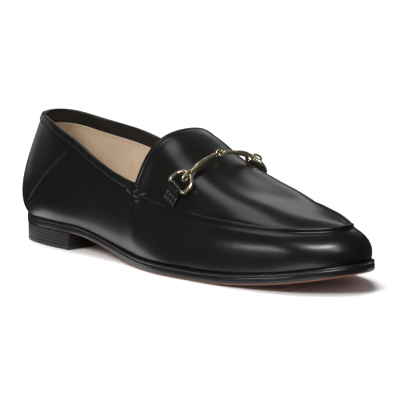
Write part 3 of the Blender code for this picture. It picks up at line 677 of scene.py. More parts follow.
def counter_edge(share, up):
    """The stiffener's edge: a low ridge, with the leather behind it standing a little higher."""
    spots = np.stack([share * TOP_LENGTH, up * COLLAR_HEIGHT], 1)
    line = np.array(COUNTER_LINE) * (TOP_LENGTH, COLLAR_HEIGHT)
    lengths = reached(line)
    best = np.full(len(spots), 1.0)
    signed = np.zeros(len(spots))
    mark = np.zeros(len(spots))
    for k, (a, b) in enumerate(zip(line, line[1:])):
        way = b - a
        t = np.clip((spots - a) @ way / (way @ way), 0, 1)
        off = spots - a - t[:, None] * way
        away = np.linalg.norm(off, axis=1)
        nearer = away < best
        best = np.where(nearer, away, best)
        cross = way[0] * off[:, 1] - way[1] * off[:, 0]
        signed = np.where(nearer, -np.sign(cross) * away, signed)
        mark = np.where(nearer, (lengths[k] + t * np.linalg.norm(way)) / lengths[-1], mark)
    ends = smooth(mark / 0.10) * smooth((1 - mark) / 0.25)
    ridge = COUNTER_RIDGE * np.exp(-(signed / 0.0011)**2)
    behind = COUNTER_STEP * smooth((signed + 0.0010) / 0.0020) * smooth((0.016 - signed) / 0.015)
    return (ridge + behind) * ends


def creases(points, side, share, up, apron):
    """Soft folds of the wall, then a faint unevenness all over."""
    lift = np.where(apron, 0.0, counter_edge(share, up))
    for fold_side, share0, up0, share1, up1, half_width, height in WALL_FOLDS:
        mine = (~apron) & (side * fold_side > 0)
        along = (share - share0) * (share1 - share0) * SOLE_LENGTH**2
        along = along + (up - up0) * (up1 - up0) * COLLAR_HEIGHT**2
        size = ((share1 - share0) * SOLE_LENGTH)**2 + ((up1 - up0) * COLLAR_HEIGHT)**2
        t = np.clip(along / size, 0, 1)
        dx = (share - share0 - t * (share1 - share0)) * SOLE_LENGTH
        dz = (up - up0 - t * (up1 - up0)) * COLLAR_HEIGHT
        away = np.sqrt(dx**2 + dz**2) / (half_width * 1e-3)
        ends = np.sin(np.pi * np.clip(0.12 + 0.76 * t, 0, 1))
        lift += np.where(mine, height * 1e-3 * np.exp(-away**2) * ends, 0)
    x, y, z = points.T
    wave = np.sin(x * 95 + z * 60 + 0.6) * np.sin(z * 120 - x * 40) + 0.6 * np.sin(
        x * 210 - y * 130 + 1.7)
    return lift + wave * UNEVEN


def build_upper():
    upper = Upper()
    lift = relief(upper)
    outer = upper.points + upper.normals * lift[:, None]
    return upper, outer


class Finish:
    """Material with a short way to add and join nodes."""

    def __init__(self, name):
        self.material = bpy.data.materials.new(name)
        self.material.use_nodes = True
        self.tree = self.material.node_tree
        self.shader = self.tree.nodes["Principled BSDF"]
        self.coords = self.tree.nodes.new("ShaderNodeTexCoord").outputs["Object"]

    def add(self, kind, settings=None, **inputs):
        node = self.tree.nodes.new(kind)
        for key, value in (settings or {}).items():
            setattr(node, key, value)
        for key, value in inputs.items():
            self.put(node.inputs[key.replace("_", " ")], value)
        return node

    def put(self, target, value):
        if isinstance(value, bpy.types.NodeSocket):
            self.tree.links.new(value, target)
        else:
            target.default_value = value

    def set(self, **inputs):
        for key, value in inputs.items():
            self.put(self.shader.inputs[key.replace("_", " ")], value)

    def scaled(self, scale):
        """Coordinates stretched by a factor for each axis."""
        return self.add("ShaderNodeMapping", Vector=self.coords, Scale=scale).outputs["Vector"]

    def turned(self, scale, angle):
        """Coordinates stretched by a factor for each axis, after a turn about Z."""
        turn = self.add("ShaderNodeMapping", Vector=self.coords, Rotation=(0.0, 0.0, angle))
        node = self.add("ShaderNodeMapping", Vector=turn.outputs["Vector"], Scale=scale)
        return node.outputs["Vector"]

    def axis(self, name):
        return self.add("ShaderNodeSeparateXYZ", Vector=self.coords).outputs[name]

    def window(self, value, a, b, c, d):
        """One between b and c, and nothing below a or above d."""
        parts = []
        for low, high in ((a, b), (d, c)):
            node = self.add("ShaderNodeMapRange", {"interpolation_type": "SMOOTHSTEP"},
                            Value=value, From_Min=low, From_Max=high)
            parts.append(node.outputs["Result"])
        return self.math("MULTIPLY", parts[0], parts[1])

    def noise(self, scale, detail=2.0, rough=0.5, coords=None):
        return self.add("ShaderNodeTexNoise", Vector=coords or self.coords, Scale=scale,
                        Detail=detail, Roughness=rough).outputs["Fac"]

    def cells(self, scale):
        return self.add("ShaderNodeTexVoronoi", Vector=self.coords,
                        Scale=scale).outputs["Distance"]

    def ramp(self, value, low, high, a, b):
        """Value between low and high turned into a number between a and b."""
        return self.add("ShaderNodeMapRange", {"clamp": True}, Value=value, From_Min=low,
                        From_Max=high, To_Min=a, To_Max=b).outputs["Result"]

    def tones(self, value, low, high, dark, light):
        """Dark colour at low, light colour at high."""
        return self.mix(self.ramp(value, low, high, 0.0, 1.0), dark, light)

    def mix(self, factor, a, b):
        node = self.add("ShaderNodeMix", {"data_type": "RGBA"})
        self.put(node.inputs[0], factor)
        self.put(node.inputs[6], a)
        self.put(node.inputs[7], b)
        return node.outputs[2]

    def math(self, kind, a, b=0.0):
        node = self.add("ShaderNodeMath", {"operation": kind})
        self.put(node.inputs[0], a)
        self.put(node.inputs[1], b)
        return node.outputs[0]

    def bump(self, height, distance, strength=1.0, under=None):
        node = self.add("ShaderNodeBump", Height=height, Distance=distance, Strength=strength)
        if under is not None:
            self.tree.links.new(under, node.inputs["Normal"])
        return node.outputs["Normal"]


def colour(r, g, b):
    return (r, g, b, 1.0)


def black_calf():
    """Polished smooth calf: fine pores, faint pull marks, a thin wax coat and a painted highlight.
    """
    f = Finish("black_calf_look")
    cloud = f.noise(38.0, 3.0)
    base = f.tones(cloud, 0.35, 0.65, colour(0.0042, 0.0042, 0.0040),
                   colour(0.0060, 0.0060, 0.0056))
    x, z = f.axis("X"), f.axis("Z")
    # Thin slanted line along the stiffener's edge on the outer wall: painted highlight, a lighter
    # base colour standing in for light caught by the crease.
    slant = f.math("SUBTRACT", z, f.math("MULTIPLY", x, 0.94))
    crease_and_painted_highlight = f.math("MULTIPLY", f.window(slant, 0.1292, 0.1299, 0.1305, 0.1312),
                  f.window(x, -0.114, -0.106, -0.082, -0.073))
    f.set(Base_Color=f.mix(crease_and_painted_highlight, base, colour(0.0105, 0.0105, 0.0100)))
    fine = f.noise(900.0, 2.0)
    f.set(Roughness=f.math("ADD", f.ramp(cloud, 0.3, 0.7, 0.30, 0.36),
                           f.ramp(fine, 0.3, 0.7, -0.01, 0.01)))
    pores = f.bump(f.cells(1500.0), 0.00004, 0.15)
    pulls = f.bump(f.noise(140.0, 3.0, 0.6, f.scaled((0.35, 1.0, 1.0))), 0.00022, 0.18, pores)
    low = f.math("MULTIPLY", f.window(x, 0.035, 0.055, 0.100, 0.118),
                 f.window(z, 0.014, 0.019, 0.026, 0.032))
    ripple = f.noise(330.0, 2.0, 0.5, f.scaled((1.0, 0.2, 0.22)))
    ripples = f.bump(f.math("MULTIPLY", ripple, low), 0.00030, 0.45, pulls)
    tip = f.math("MULTIPLY", f.window(x, 0.060, 0.078, 0.100, 0.112),
                 f.window(z, 0.034, 0.037, 0.050, 0.055))
    crease = f.noise(150.0, 2.0, 0.5, f.turned((0.30, 1.0, 1.0), 0.5))
    creased = f.bump(f.math("MULTIPLY", crease, tip), 0.00070, 0.5, ripples)
    # The same line also gets a bump, so it is a real crease as well as a painted highlight.
    f.set(Normal=f.bump(crease_and_painted_highlight, 0.00035, 1.0, creased))
    f.set(IOR=1.5, Specular_IOR_Level=0.40, Coat_Weight=0.48, Coat_Roughness=0.25)
    return f.material


def facing_finish():
    """Matt black leather of the facing inside the collar."""
    f = Finish("black_facing_look")
    cloud = f.noise(120.0, 3.0)
    f.set(Base_Color=f.tones(cloud, 0.3, 0.7, colour(0.0065, 0.0065, 0.0062),
                             colour(0.0105, 0.0102, 0.0096)))
    f.set(Roughness=f.ramp(cloud, 0.3, 0.7, 0.58, 0.70))
    f.set(Normal=f.bump(f.cells(1300.0), 0.00006, 0.3))
    return f.material


def tan_lining():
    """Natural lining leather: warm tan, matt, with a soft mottle."""
    f = Finish("tan_lining_look")
    cloud = f.noise(70.0, 4.0, 0.6)
    base = f.tones(cloud, 0.3, 0.7, colour(0.66, 0.525, 0.385), colour(0.75, 0.625, 0.485))
    speck = f.ramp(f.noise(1100.0, 2.0), 0.45, 0.72, 0.0, 0.55)
    f.set(Base_Color=f.mix(speck, base, colour(0.58, 0.455, 0.325)))
    f.set(Roughness=f.ramp(cloud, 0.3, 0.7, 0.52, 0.66))
    f.set(Normal=f.bump(f.cells(1500.0), 0.00007, 0.5))
    return f.material


def thread(name, r, g, b):
    f = Finish(name)
    twist = f.noise(2600.0, 1.0)
    f.set(Base_Color=f.tones(twist, 0.3, 0.7, colour(r * 0.7, g * 0.7, b * 0.7),
                             colour(r, g, b)))
    f.set(Roughness=f.ramp(twist, 0.3, 0.7, 0.42, 0.55), Normal=f.bump(twist, 0.00006, 0.5))
    return f.material


def sole_finish():
    """Terracotta leather underside with fine scuffs along its length."""
    f = Finish("sole_leather_look")
    cloud = f.noise(45.0, 4.0, 0.6)
    streak = f.noise(260.0, 3.0, 0.6, f.scaled((0.15, 1.0, 1.0)))
    base = f.tones(cloud, 0.3, 0.7, colour(0.22, 0.078, 0.046), colour(0.27, 0.102, 0.062))
    f.set(Base_Color=f.mix(f.ramp(streak, 0.52, 0.75, 0.0, 0.5), base, colour(0.18, 0.062, 0.036)))
    f.set(Roughness=f.ramp(streak, 0.3, 0.7, 0.42, 0.58))
    f.set(Normal=f.bump(f.noise(1300.0, 2.0), 0.00004, 0.3))
    return f.material


def edge_finish():
    """Black waxed edge of the sole, satin, with faint lines along it."""
    f = Finish("waxed_edge_look")
    lines = f.noise(500.0, 2.0, 0.5, f.scaled((0.06, 0.06, 1.6)))
    f.set(Base_Color=f.tones(lines, 0.35, 0.7, colour(0.0060, 0.0060, 0.0062),
                             colour(0.0110, 0.0107, 0.0103)))
    f.set(Roughness=f.ramp(lines, 0.3, 0.7, 0.26, 0.36))
    f.set(Normal=f.bump(lines, 0.00003, 0.25))
    f.set(Specular_IOR_Level=0.42, Coat_Weight=0.30, Coat_Roughness=0.2)
    return f.material


def stack_finish():
    """Stacked heel leather under black wax: fine lines that run level."""
    f = Finish("heel_stack_look")
    lines = f.noise(900.0, 3.0, 0.55, f.scaled((0.03, 0.03, 1.4)))
    f.set(Base_Color=f.tones(lines, 0.3, 0.72, colour(0.0060, 0.0060, 0.0063),
                             colour(0.0150, 0.0143, 0.0137)))
    f.set(Roughness=f.ramp(lines, 0.3, 0.7, 0.34, 0.52))
    f.set(Normal=f.bump(lines, 0.00014, 0.5))
    f.set(Specular_IOR_Level=0.30)
    return f.material


def rubber_finish():
    f = Finish("heel_rubber_look")
    grit = f.noise(1500.0, 2.0)
    f.set(Base_Color=f.tones(grit, 0.3, 0.7, colour(0.010, 0.010, 0.010),
                             colour(0.019, 0.019, 0.019)))
    f.set(Roughness=f.ramp(grit, 0.3, 0.7, 0.45, 0.62), Normal=f.bump(grit, 0.00005, 0.35))
    return f.material


def gold_finish():
    """Pale gold plate, polished, a little duller in places."""
    f = Finish("pale_gold_look")
    cloud = f.noise(260.0, 2.0)
    f.set(Base_Color=f.tones(cloud, 0.3, 0.7, colour(0.90, 0.70, 0.43),
                             colour(0.97, 0.85, 0.64)))
    f.set(Roughness=f.ramp(cloud, 0.3, 0.7, 0.20, 0.26))
    f.set(Normal=f.bump(f.noise(3200.0, 1.0), 0.00001, 0.2))
    f.set(Metallic=0.94)
    return f.material


BLACK = black_calf()
LINING_PROUD = 0.00035
TAN = tan_lining()
THREAD = thread("black_thread_look", 0.048, 0.048, 0.047)
FACING = facing_finish()
TAN_THREAD = thread("tan_thread_look", 0.62, 0.50, 0.38)
GOLD = gold_finish()


def dress_upper(upper, outer):
    """Outer leather with its rolled rim and the black facing inside the collar."""
    inner = upper.points - upper.normals * WALL
    vertices = list(outer)
    faces = [[int(c) for c in face] for face in upper.faces]
    slots = [0] * len(faces)
    facing = {}

    def face_point(number):
        if number not in facing:
            facing[number] = len(vertices)
            vertices.append(inner[number])
        return facing[number]

    for side in (-1, 1):
        wall = upper.wall[side]
        for i in range(upper.rear):
            for j in range(WALL_ROWS, upper.wall_rows - 1):
                quad = [wall[i][j], wall[i][j + 1], wall[i + 1][j + 1], wall[i + 1][j]]
                quad = [face_point(number) for number in quad]
                faces.append(quad if side < 0 else quad[::-1])
    for here, ahead in zip(upper.apron[:len(THROAT_MARKS)], upper.apron[1:len(THROAT_MARKS)]):
        for q in range(len(here) - 1):
            quad = [here[q], here[q + 1], ahead[q + 1], ahead[q]]
            faces.append([face_point(number) for number in quad])
    slots += [1] * (len(faces) - len(slots))
    loop = [upper.wall[-1][i][-1] for i in range(upper.rear, 0, -1)]
    loop += [upper.wall[1][i][-1] for i in range(upper.rear)]
    loop += upper.apron[0][::-1][:-1]
    rim_steps = 7
    ways = rim_ways(upper, loop)
    rows = []
    for number, way in zip(loop, ways):
        top, low = outer[number], inner[number]
        middle = (top + low) / 2
        half = (top - low) / 2
        bulge = way * np.linalg.norm(half) * 0.55
        row = [number]
        for k in range(1, rim_steps):
            angle = math.pi * k / rim_steps
            vertices.append(middle + half * math.cos(angle) + bulge * math.sin(angle))
            row.append(len(vertices) - 1)
        row.append(face_point(number))
        rows.append(row)
    for face in strips(rows + rows[:1]):
        faces.append(face[:1] + face[:0:-1])
    slots += [0] * (len(faces) - len(slots))
    made = add_mesh("upper_leather", vertices, faces, [BLACK, FACING], slots)
    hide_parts("upper")


def rim_ways(upper, loop):
    """For each point of the opening's edge, the way out of the leather's end."""
    edge = upper.points[loop]
    along = np.roll(edge, -1, axis=0) - np.roll(edge, 1, axis=0)
    ways = np.cross(along, upper.normals[loop])
    ways = ways / np.linalg.norm(ways, axis=1)[:, None]
    if ways[0][2] < 0:
        ways = -ways
    return ways


def dress_lining(upper):
    """Tan lining on the inside of the wall and of the apron."""
    inner = upper.points - upper.normals * (WALL + LINING_PROUD)
    rows = spaced(0, WALL_ROWS, 2)
    vertices, faces, known = [], [], {}

    def put(number):
        if number not in known:
            point = inner[number]
            floor = sole_top(point[0]) + GAP
            known[number] = len(vertices)
            vertices.append(np.array([point[0], point[1], max(point[2], floor)]))
        return known[number]

    def quad(corners, flip):
        kept = distinct(put(number) for number in corners)
        if len(kept) > 2:
            faces.append(kept[::-1] if flip else kept)

    fore_rows = rows + spaced(WALL_ROWS + 3, upper.wall_rows - 1, 3)
    steps = spaced(0, upper.last, 2)
    for side in (-1, 1):
        wall = upper.wall[side]
        for a, b in zip(steps, steps[1:]):
            used = rows if b <= upper.rear else fore_rows
            for j, k in zip(used, used[1:]):
                quad([wall[a][j], wall[a][k], wall[b][k], wall[b][j]], side > 0)
    lines = spaced(len(THROAT_MARKS) - 2, len(upper.apron) - 1, 2)
    half = upper.half_rows - 1
    across = spaced(0, half, 2)
    across = across + [2 * half - q for q in across[::-1][1:]]
    for a, b in zip(lines, lines[1:]):
        for q, r in zip(across, across[1:]):
            quad([upper.apron[a][q], upper.apron[a][r], upper.apron[b][r], upper.apron[b][q]],
                 False)
    made = add_mesh("lining", vertices, faces, [TAN])


def dress_lining_edge(upper):
    """Light turned edge along the top of the lining, and the stitches just below it."""
    def line(row, depth):
        numbers = [upper.wall[-1][i][row] for i in range(upper.rear, 0, -1)]
        numbers += [upper.wall[1][i][row] for i in range(upper.rear + 1)]
        return upper.points[numbers] - upper.normals[numbers] * depth, upper.normals[numbers]

    path, _ = line(WALL_ROWS, WALL + LINING_PROUD)
    edge = add_mesh("lining_edge", *tube(path, [0.00042] * len(path), (0.0, 0.0, 1.0), 8), [TAN])
    outward(edge)
    points, normals = line(WALL_ROWS - 1, WALL + LINING_PROUD)
    vertices, faces = join(stitch_row(points, -normals, 0.0023, 0.62, 0.00017))
    made = add_mesh("stitching_tan", vertices, faces, [TAN_THREAD])
    outward(made)


SOLE_SIDE = (
    # height share, inset, underside
    (0.00, 0.0034, 1),
    (0.00, 0.0016, 1),
    (0.02, 0.0009, 1),
    (0.07, 0.00042, 1),
    (0.13, 0.00020, 1),
    (0.16, 0.00026, 0),
    (0.21, 0.00010, 0),
    (0.32, 0.00002, 0),
    (0.45, 0.0, 0),
    (0.58, 0.00002, 0),
    (0.68, 0.00008, 0),
    (0.72, 0.00022, 0),
    (0.755, 0.00034, 0),
    (0.79, 0.00022, 0),
    (0.83, 0.00006, 0),
    (0.89, 0.00005, 0),
    (0.94, 0.00018, 0),
    (0.98, 0.00040, 0),
    (1.00, 0.00080, 0),
    (1.00, 0.0026, 0),
)


def dress_sole():
    """Outsole with its waxed edge, a bead at the top and a plain terracotta underside."""
    count = 150
    angles = half_turn(count)
    loop = [(theta, -1) for theta in angles] + [(theta, 1) for theta in angles[-2:0:-1]]
    vertices, slots = [], []
    for share, inset, _ in SOLE_SIDE:
        for theta, side in loop:
            plain = 0.25 + 0.75 * float(smooth((share_of(theta) - 0.21) / 0.12))
            x, y = sole_edge(theta, side, inset * (plain if inset < 0.0008 else 1.0))
            vertices.append((x, y, sole_under(x) + share * sole_thickness(x)))
    size = len(loop)
    faces = strips(numbered(len(SOLE_SIDE), size), True)
    for face in faces:
        before_heel = vertices[face[0]][0] > HEEL_LENGTH
        slots.append(1 if SOLE_SIDE[face[3] // size][2] and before_heel else 0)
    across = 10
    for row, slot_number in ((0, 1), (len(SOLE_SIDE) - 1, 0)):
        base = row * size
        share = SOLE_SIDE[row][0]
        lines = []
        for i in range(count + 1):
            a = np.array(vertices[base + i])
            b = np.array(vertices[base + (size - i) % size])
            if i in (0, count):
                lines.append([base + i] * (across + 1))
                continue
            line = [base + i]
            for k in range(1, across):
                point = a + (b - a) * k / across
                point[2] = sole_under(point[0]) + share * sole_thickness(point[0])
                vertices.append(tuple(point))
                line.append(len(vertices) - 1)
            line.append(base + size - i)
            lines.append(line)
        caps = [distinct(face) for face in strips(lines)]
        faces += caps
        slots += [slot_number] * len(caps)
    made = add_mesh("outsole_leather", vertices, faces, [edge_finish(), sole_finish()], slots, 50)
    outward(made)
    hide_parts("outsole")


def heel_loop(inset, steps=40, corner=0.0012):
    """Outline of the heel in plan, with small round corners at its straight front."""
    stop = angle_of(HEEL_LENGTH / SOLE_LENGTH)
    front = HEEL_LENGTH - inset
    angles = [stop * i / steps for i in range(steps + 1)]
    outer, inner = ([p for p in (sole_edge(theta, side, inset) for theta in angles)
                     if p[0] < front - corner] for side in (-1, 1))
    low = sole_edge(stop, -1, inset)
    high = sole_edge(stop, 1, inset)
    turn = [math.pi / 2 * k / 5 for k in range(6)]
    near = [(front - corner + corner * math.sin(a), low[1] + corner - corner * math.cos(a))
            for a in turn]
    far = [(front - corner + corner * math.cos(a), high[1] - corner + corner * math.sin(a))
           for a in turn]
    return [tuple(p) for p in outer] + near + far + [tuple(p) for p in inner[:0:-1]]


def dress_heel():
    """Stacked heel block and its rubber lift, with rounded edges and the stack's lines."""
    def stack(name, levels, finish, node):
        vertices = []
        loops = [heel_loop(inset) for _, inset in levels]
        size = min(len(loop) for loop in loops)
        for (height, _), loop in zip(levels, loops):
            marks = np.linspace(0, len(loop), size, endpoint=False)
            for mark in marks:
                k = int(mark)
                t = mark - k
                a, b = np.array(loop[k]), np.array(loop[(k + 1) % len(loop)])
                vertices.append((*(a + (b - a) * t), height))
        rows = numbered(len(levels), size)
        faces = [rows[0][::-1], rows[-1]] + strips(rows, True)
        made = add_mesh(name, vertices, faces, [finish], None, 40)
        outward(made)
        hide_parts(node)

    lift = [(0.0, HEEL_INSET + 0.0005), (0.0002, HEEL_INSET + 0.00015), (0.0005, HEEL_INSET),
            (LIFT_THICK - 0.0003, HEEL_INSET), (LIFT_THICK - 0.00005, HEEL_INSET + 0.0002)]
    stack("heel_lift_rubber", lift, rubber_finish(), "heel_lift")
    block = []
    base = LIFT_THICK + 0.0001
    top = HEEL_HEIGHT - 0.0001
    layers = 5
    for k in range(layers):
        low = base + (top - base) * k / layers
        high = base + (top - base) * (k + 1) / layers
        block += [(low, HEEL_INSET + 0.00011), (low + 0.00018, HEEL_INSET),
                  (high - 0.00018, HEEL_INSET), (high - 0.00003, HEEL_INSET + 0.00011)]
    stack("heel_stack_leather", block, stack_finish(), "heel_block")


def dress_insole():
    """Tan sock on the sole, a little domed across its top."""
    count, across = 90, 14
    angles = half_turn(count)
    vertices, faces = [], []
    lines = []
    for layer, rise in ((0, 0.0), (1, INSOLE_THICK - 0.0003)):
        for theta in angles:
            inset = feather_inset(theta) + WALL + INSOLE_PLAY - 0.0003
            a, b = sole_edge(theta, -1, inset), sole_edge(theta, 1, inset)
            line = []
            for k in range(across + 1):
                t = (1 - math.cos(math.pi * k / across)) / 2
                x, y = a + (b - a) * t
                dome = 0.0003 * math.sin(math.pi * k / across) ** 0.5 if layer else 0.0
                vertices.append((x, y, sole_top(x) + GAP + rise + dome))
                line.append(len(vertices) - 1)
            lines.append(line)
    size = count + 1
    for layer in (0, 1):
        for i in range(count):
            here, ahead = lines[layer * size + i], lines[layer * size + i + 1]
            faces += strips([here, ahead])
    for i in range(count):
        for k in (0, across):
            a, b = lines[i], lines[i + 1]
            c, d = lines[size + i], lines[size + i + 1]
            faces.append([a[k], b[k], d[k], c[k]])
    made = add_mesh("sock", vertices, faces, [TAN])
    work = bmesh.new()
    work.from_mesh(made.data)
    bmesh.ops.remove_doubles(work, verts=work.verts, dist=1e-6)
    bmesh.ops.recalc_face_normals(work, faces=work.faces)
    work.to_mesh(made.data)
    work.free()
    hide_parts("insole")


def tube(path, radii, plane, sides, closed=False, relief_at=None):
    """Round bar along a path; plane is the way its first corner keeps to."""
    path = [np.asarray(point, float) for point in path]
    count = len(path)
    vertices = []
    for i, centre in enumerate(path):
        before = path[(i - 1) % count] if closed or i > 0 else centre
        after = path[(i + 1) % count] if closed or i < count - 1 else centre
        along = unit(after - before)
        flat = unit(plane - along * np.dot(plane, along))
        other = np.cross(along, flat)
        for j in range(sides):
            angle = 2 * math.pi * j / sides
            size = radii[i]
            if relief_at:
                size += relief_at(i / (count - 1), angle)
            vertices.append(centre + size * (flat * math.cos(angle) + other * math.sin(angle)))
    rings = numbered(count, sides)
    faces = strips(rings + rings[:1] if closed else rings, True)
    if not closed:
        faces += [rings[0][::-1], rings[-1]]
    return vertices, faces


def join(parts):
    """Vertices and faces of several bodies in one."""
    vertices, faces = [], []
    for more_vertices, more_faces in parts:
        base = len(vertices)
        vertices += list(more_vertices)
        faces += [[base + k for k in face] for face in more_faces]
    return vertices, faces


def apron_spot(theta, side, distance):
    rib = apron_rib(theta, side)
    marks, lengths = rib_lengths(rib)
    mark = float(np.interp(distance, lengths, marks))
    return bezier(rib, mark), unit(bezier(rib, mark + BIT_STEP) - bezier(rib, mark - BIT_STEP))


def turned(vector, axis, angle):
    along = axis * np.dot(axis, vector)
    return along + (vector - along) * math.cos(angle) + np.cross(axis, vector) * math.sin(angle)


def ring_frame(side):
    """Middle of the ring's straight bar, and the ways forward, up the ring and out of it."""
    theta = angle_of(JUNCTION + BIT_SHARE * (1 - JUNCTION))
    foot, up = apron_spot(theta, side, RING_FROM_SEAM)
    forward = unit(apron_spot(theta + BIT_STEP, side, RING_FROM_SEAM)[0]
                   - apron_spot(theta - BIT_STEP, side, RING_FROM_SEAM)[0])
    out = unit(np.cross(up, forward)) * side
    up = unit(np.cross(forward, out)) * side
    turn = math.radians(RING_TURN) * side
    forward = turned(forward, out, turn)
    up = turned(up, out, turn)
    height = GAP + RING_LIFT + TAB_THICK + tab_hole()
    return foot + out * height, forward, up, out


def tab_hole():
    return RING_WIRE / 2 + GAP + HOLE_PLAY


def tilted(side):
    middle, forward, up, out = ring_frame(side)
    lean = math.radians(RING_TILT)
    return (middle, forward, unit(up * math.cos(lean) - out * math.sin(lean)),
            unit(out * math.cos(lean) + up * math.sin(lean)))


def ring_path(steps):
    half = (RING_WIDTH - RING_WIRE) / 2
    deep = RING_DEPTH - RING_WIRE
    points = []
    for i in range(steps):
        angle = 2 * math.pi * i / steps
        across, high = math.cos(angle), math.sin(angle)
        if high >= 0:
            wide = half * math.copysign(abs(across)**ARCH_WIDE, across)
            points.append((wide, RING_CORNER + (deep - RING_CORNER) * high**ARCH_DEEP))
        else:
            wide = half * math.copysign(abs(across)**FOOT_SQUARE, across)
            points.append((wide, RING_CORNER * (1 - abs(high)**FOOT_SQUARE)))
    return np.array(points)


def even_loop(points, count):
    """The same closed line with evenly spaced points, softened a little."""
    closed = np.vstack([points, points[:1]])
    lengths = reached(closed)
    marks = np.linspace(0, lengths[-1], count, endpoint=False)
    even = np.stack([np.interp(marks, lengths, closed[:, k]) for k in range(points.shape[1])], 1)
    for _ in range(3):
        even = even * 0.5 + (np.roll(even, 1, axis=0) + np.roll(even, -1, axis=0)) * 0.25
    return even


def side_name(side):
    return "lateral" if side < 0 else "medial"


def dress_ring(side):
    middle, forward, up, out = tilted(side)
    path = [middle + forward * a + up * h for a, h in even_loop(ring_path(240), 120)]
    vertices, faces = tube(path, [RING_WIRE / 2 + 0.00007] * len(path), out, 20, closed=True)
    made = add_mesh("ring_gold_" + side_name(side), vertices, faces, [GOLD])
    outward(made)
    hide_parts("bit_ring_" + side_name(side))


def ring_hook(side):
    middle, forward, up, out = tilted(side)
    return middle + up * (RING_DEPTH - RING_WIRE), forward, out


def bit_centre(tree):
    """Where the two halves of the bit meet, over the crown."""
    x, y, z = (ring_hook(-1)[0] + ring_hook(1)[0]) / 2
    hit = tree.ray_cast(Vector((x - BIT_BACK, y, z + INSTEP_HEIGHT)), Vector((0, 0, -1)))
    out = unit(hit[1])
    return np.array(hit[0]) + out * (EYE_WIDTH / 2 + GAP), out


def wire_loop(path, wire, plane):
    return tube(path, [wire / 2] * len(path), plane, 16, closed=True)


def dress_bar(side, tree):
    """Half of the bit: a link through the ring, a swelling bar with a cut line, and an eye."""
    hook, forward, out = ring_hook(side)
    centre, crown_out = bit_centre(tree)
    control = (hook + centre) / 2 + unit(out + crown_out) * BAR_BOW * 2
    leave = unit(control - hook)
    arrive = unit(centre - control)
    half = RING_WIRE / 2 + GAP + LINK_WIRE / 2
    eye_radius = (EYE_WIDTH - EYE_WIRE) / 2
    eye_centre = centre - arrive * (eye_radius - EYE_OVERLAP)
    eye_square = crown_out if side < 0 else np.cross(arrive, crown_out)
    eye_square = unit(eye_square - arrive * np.dot(arrive, eye_square))
    start = hook + leave * half
    end = eye_centre - arrive * eye_radius
    thick = hermite(column(BAR_TABLE, 0), column(BAR_TABLE, 1))
    marks = np.linspace(0, 1, 61)
    path = [start * (1 - t)**2 + 2 * control * t * (1 - t) + end * t * t for t in marks]
    radii = [BAR_THICK / 2 * 1.08 * float(thick(t)) for t in marks]

    def cut(t, angle):
        """A long oval line cut round the face of the swelling."""
        from_top = (angle + math.pi) % (2 * math.pi) - math.pi
        inside = ((t - 0.36) / 0.26)**2 + (from_top / 0.85)**2
        return -0.00010 * math.exp(-((math.sqrt(inside) - 1) / 0.16)**2)

    face = unit(out + crown_out)
    bar = tube(path, radii, face, 28, relief_at=cut)
    square = unit(out - leave * np.dot(out, leave))
    along = leave
    steps = 20
    link_path = []
    for middle, first in ((hook, -math.pi / 2), (hook - leave * LINK_INSIDE, math.pi / 2)):
        for i in range(steps + 1):
            angle = first + math.pi * i / steps
            link_path.append(middle + half * (along * math.cos(angle) + square * math.sin(angle)))
    eye_path = []
    for i in range(48):
        angle = 2 * math.pi * i / 48
        eye_path.append(eye_centre + eye_radius * (arrive * math.cos(angle)
                                                   + eye_square * math.sin(angle)))
    vertices, faces = join([bar, wire_loop(link_path, LINK_WIRE, np.cross(along, square)),
                            wire_loop(eye_path, EYE_WIRE, np.cross(arrive, eye_square))])
    made = add_mesh("bar_gold_" + side_name(side), vertices, faces, [GOLD])
    outward(made)
    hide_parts("bit_bar_" + side_name(side))


def ground_under(tree, middle, forward, up, out):
    """Smooth height of the leather under a tab, by across and high."""
    def terms(across, high):
        return np.array([1, across, high, across**2, across * high, high**2])

    rows, heights = [], []
    for across in np.linspace(-TAB_WIDTH / 2, TAB_WIDTH / 2, 13):
        for high in np.linspace(-TAB_TAIL, 0, 13):
            start = middle + forward * across + up * high + out * INSTEP_HEIGHT
            hit = tree.ray_cast(Vector(start), Vector(-out))
            rows.append(terms(across / TAB_WIDTH, high / TAB_TAIL))
            heights.append(INSTEP_HEIGHT - hit[3])
    rows, heights = np.array(rows), np.array(heights)
    weights = np.linalg.lstsq(rows, heights, rcond=None)[0]
    return lambda across, high: float(terms(across / TAB_WIDTH, high / TAB_TAIL) @ weights)


def dress_tab(side, tree):
    """Leather strap folded round the ring's bar and sewn down, with soft edges."""
    middle, forward, up, out = ring_frame(side)
    ground = ground_under(tree, middle, forward, up, out)
    hole = tab_hole() - 0.0003
    shell = hole + TAB_THICK
    tail = TAB_TAIL + 0.0004
    thick = ((1.0, 0.95), (0.96, 1.15), (0.85, 1.25), (0.70, 1.38), (0.55, 1.60), (0.42, 1.95))
    sections = 17
    rings = []
    for k in range(sections):
        t = k / (sections - 1)
        across = TAB_WIDTH * (t - 0.5)
        edge = abs(2 * t - 1)
        soft = 1 - 0.40 * max(0.0, (edge - 0.80) / 0.20)**2
        centre = middle + forward * across

        def at(high, height):
            return centre + up * high + out * height

        loop = [at(-s * tail, ground(across, -s * tail) - 0.0002) for s in (1.0, 0.7, 0.4, 0.2)]
        for degrees in range(-80, 131, 15):
            angle = math.radians(degrees)
            size = hole + TAB_THICK * soft
            loop.append(at(size * math.cos(angle), size * math.sin(angle)))
        for s, share in thick[::-1]:
            loop.append(at(-s * tail, ground(across, -s * tail) + share * TAB_THICK * soft))
        rings.append(loop)
    vertices = [point for loop in rings for point in loop]
    loops = numbered(sections, len(rings[0]))
    faces = strips(loops, True) + [loops[0], loops[-1][::-1]]
    made = add_mesh("tab_leather_" + side_name(side), vertices, faces, [BLACK], None, 50)
    outward(made)
    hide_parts("bit_tab_" + side_name(side))
    return middle, forward, up, out, ground, tail


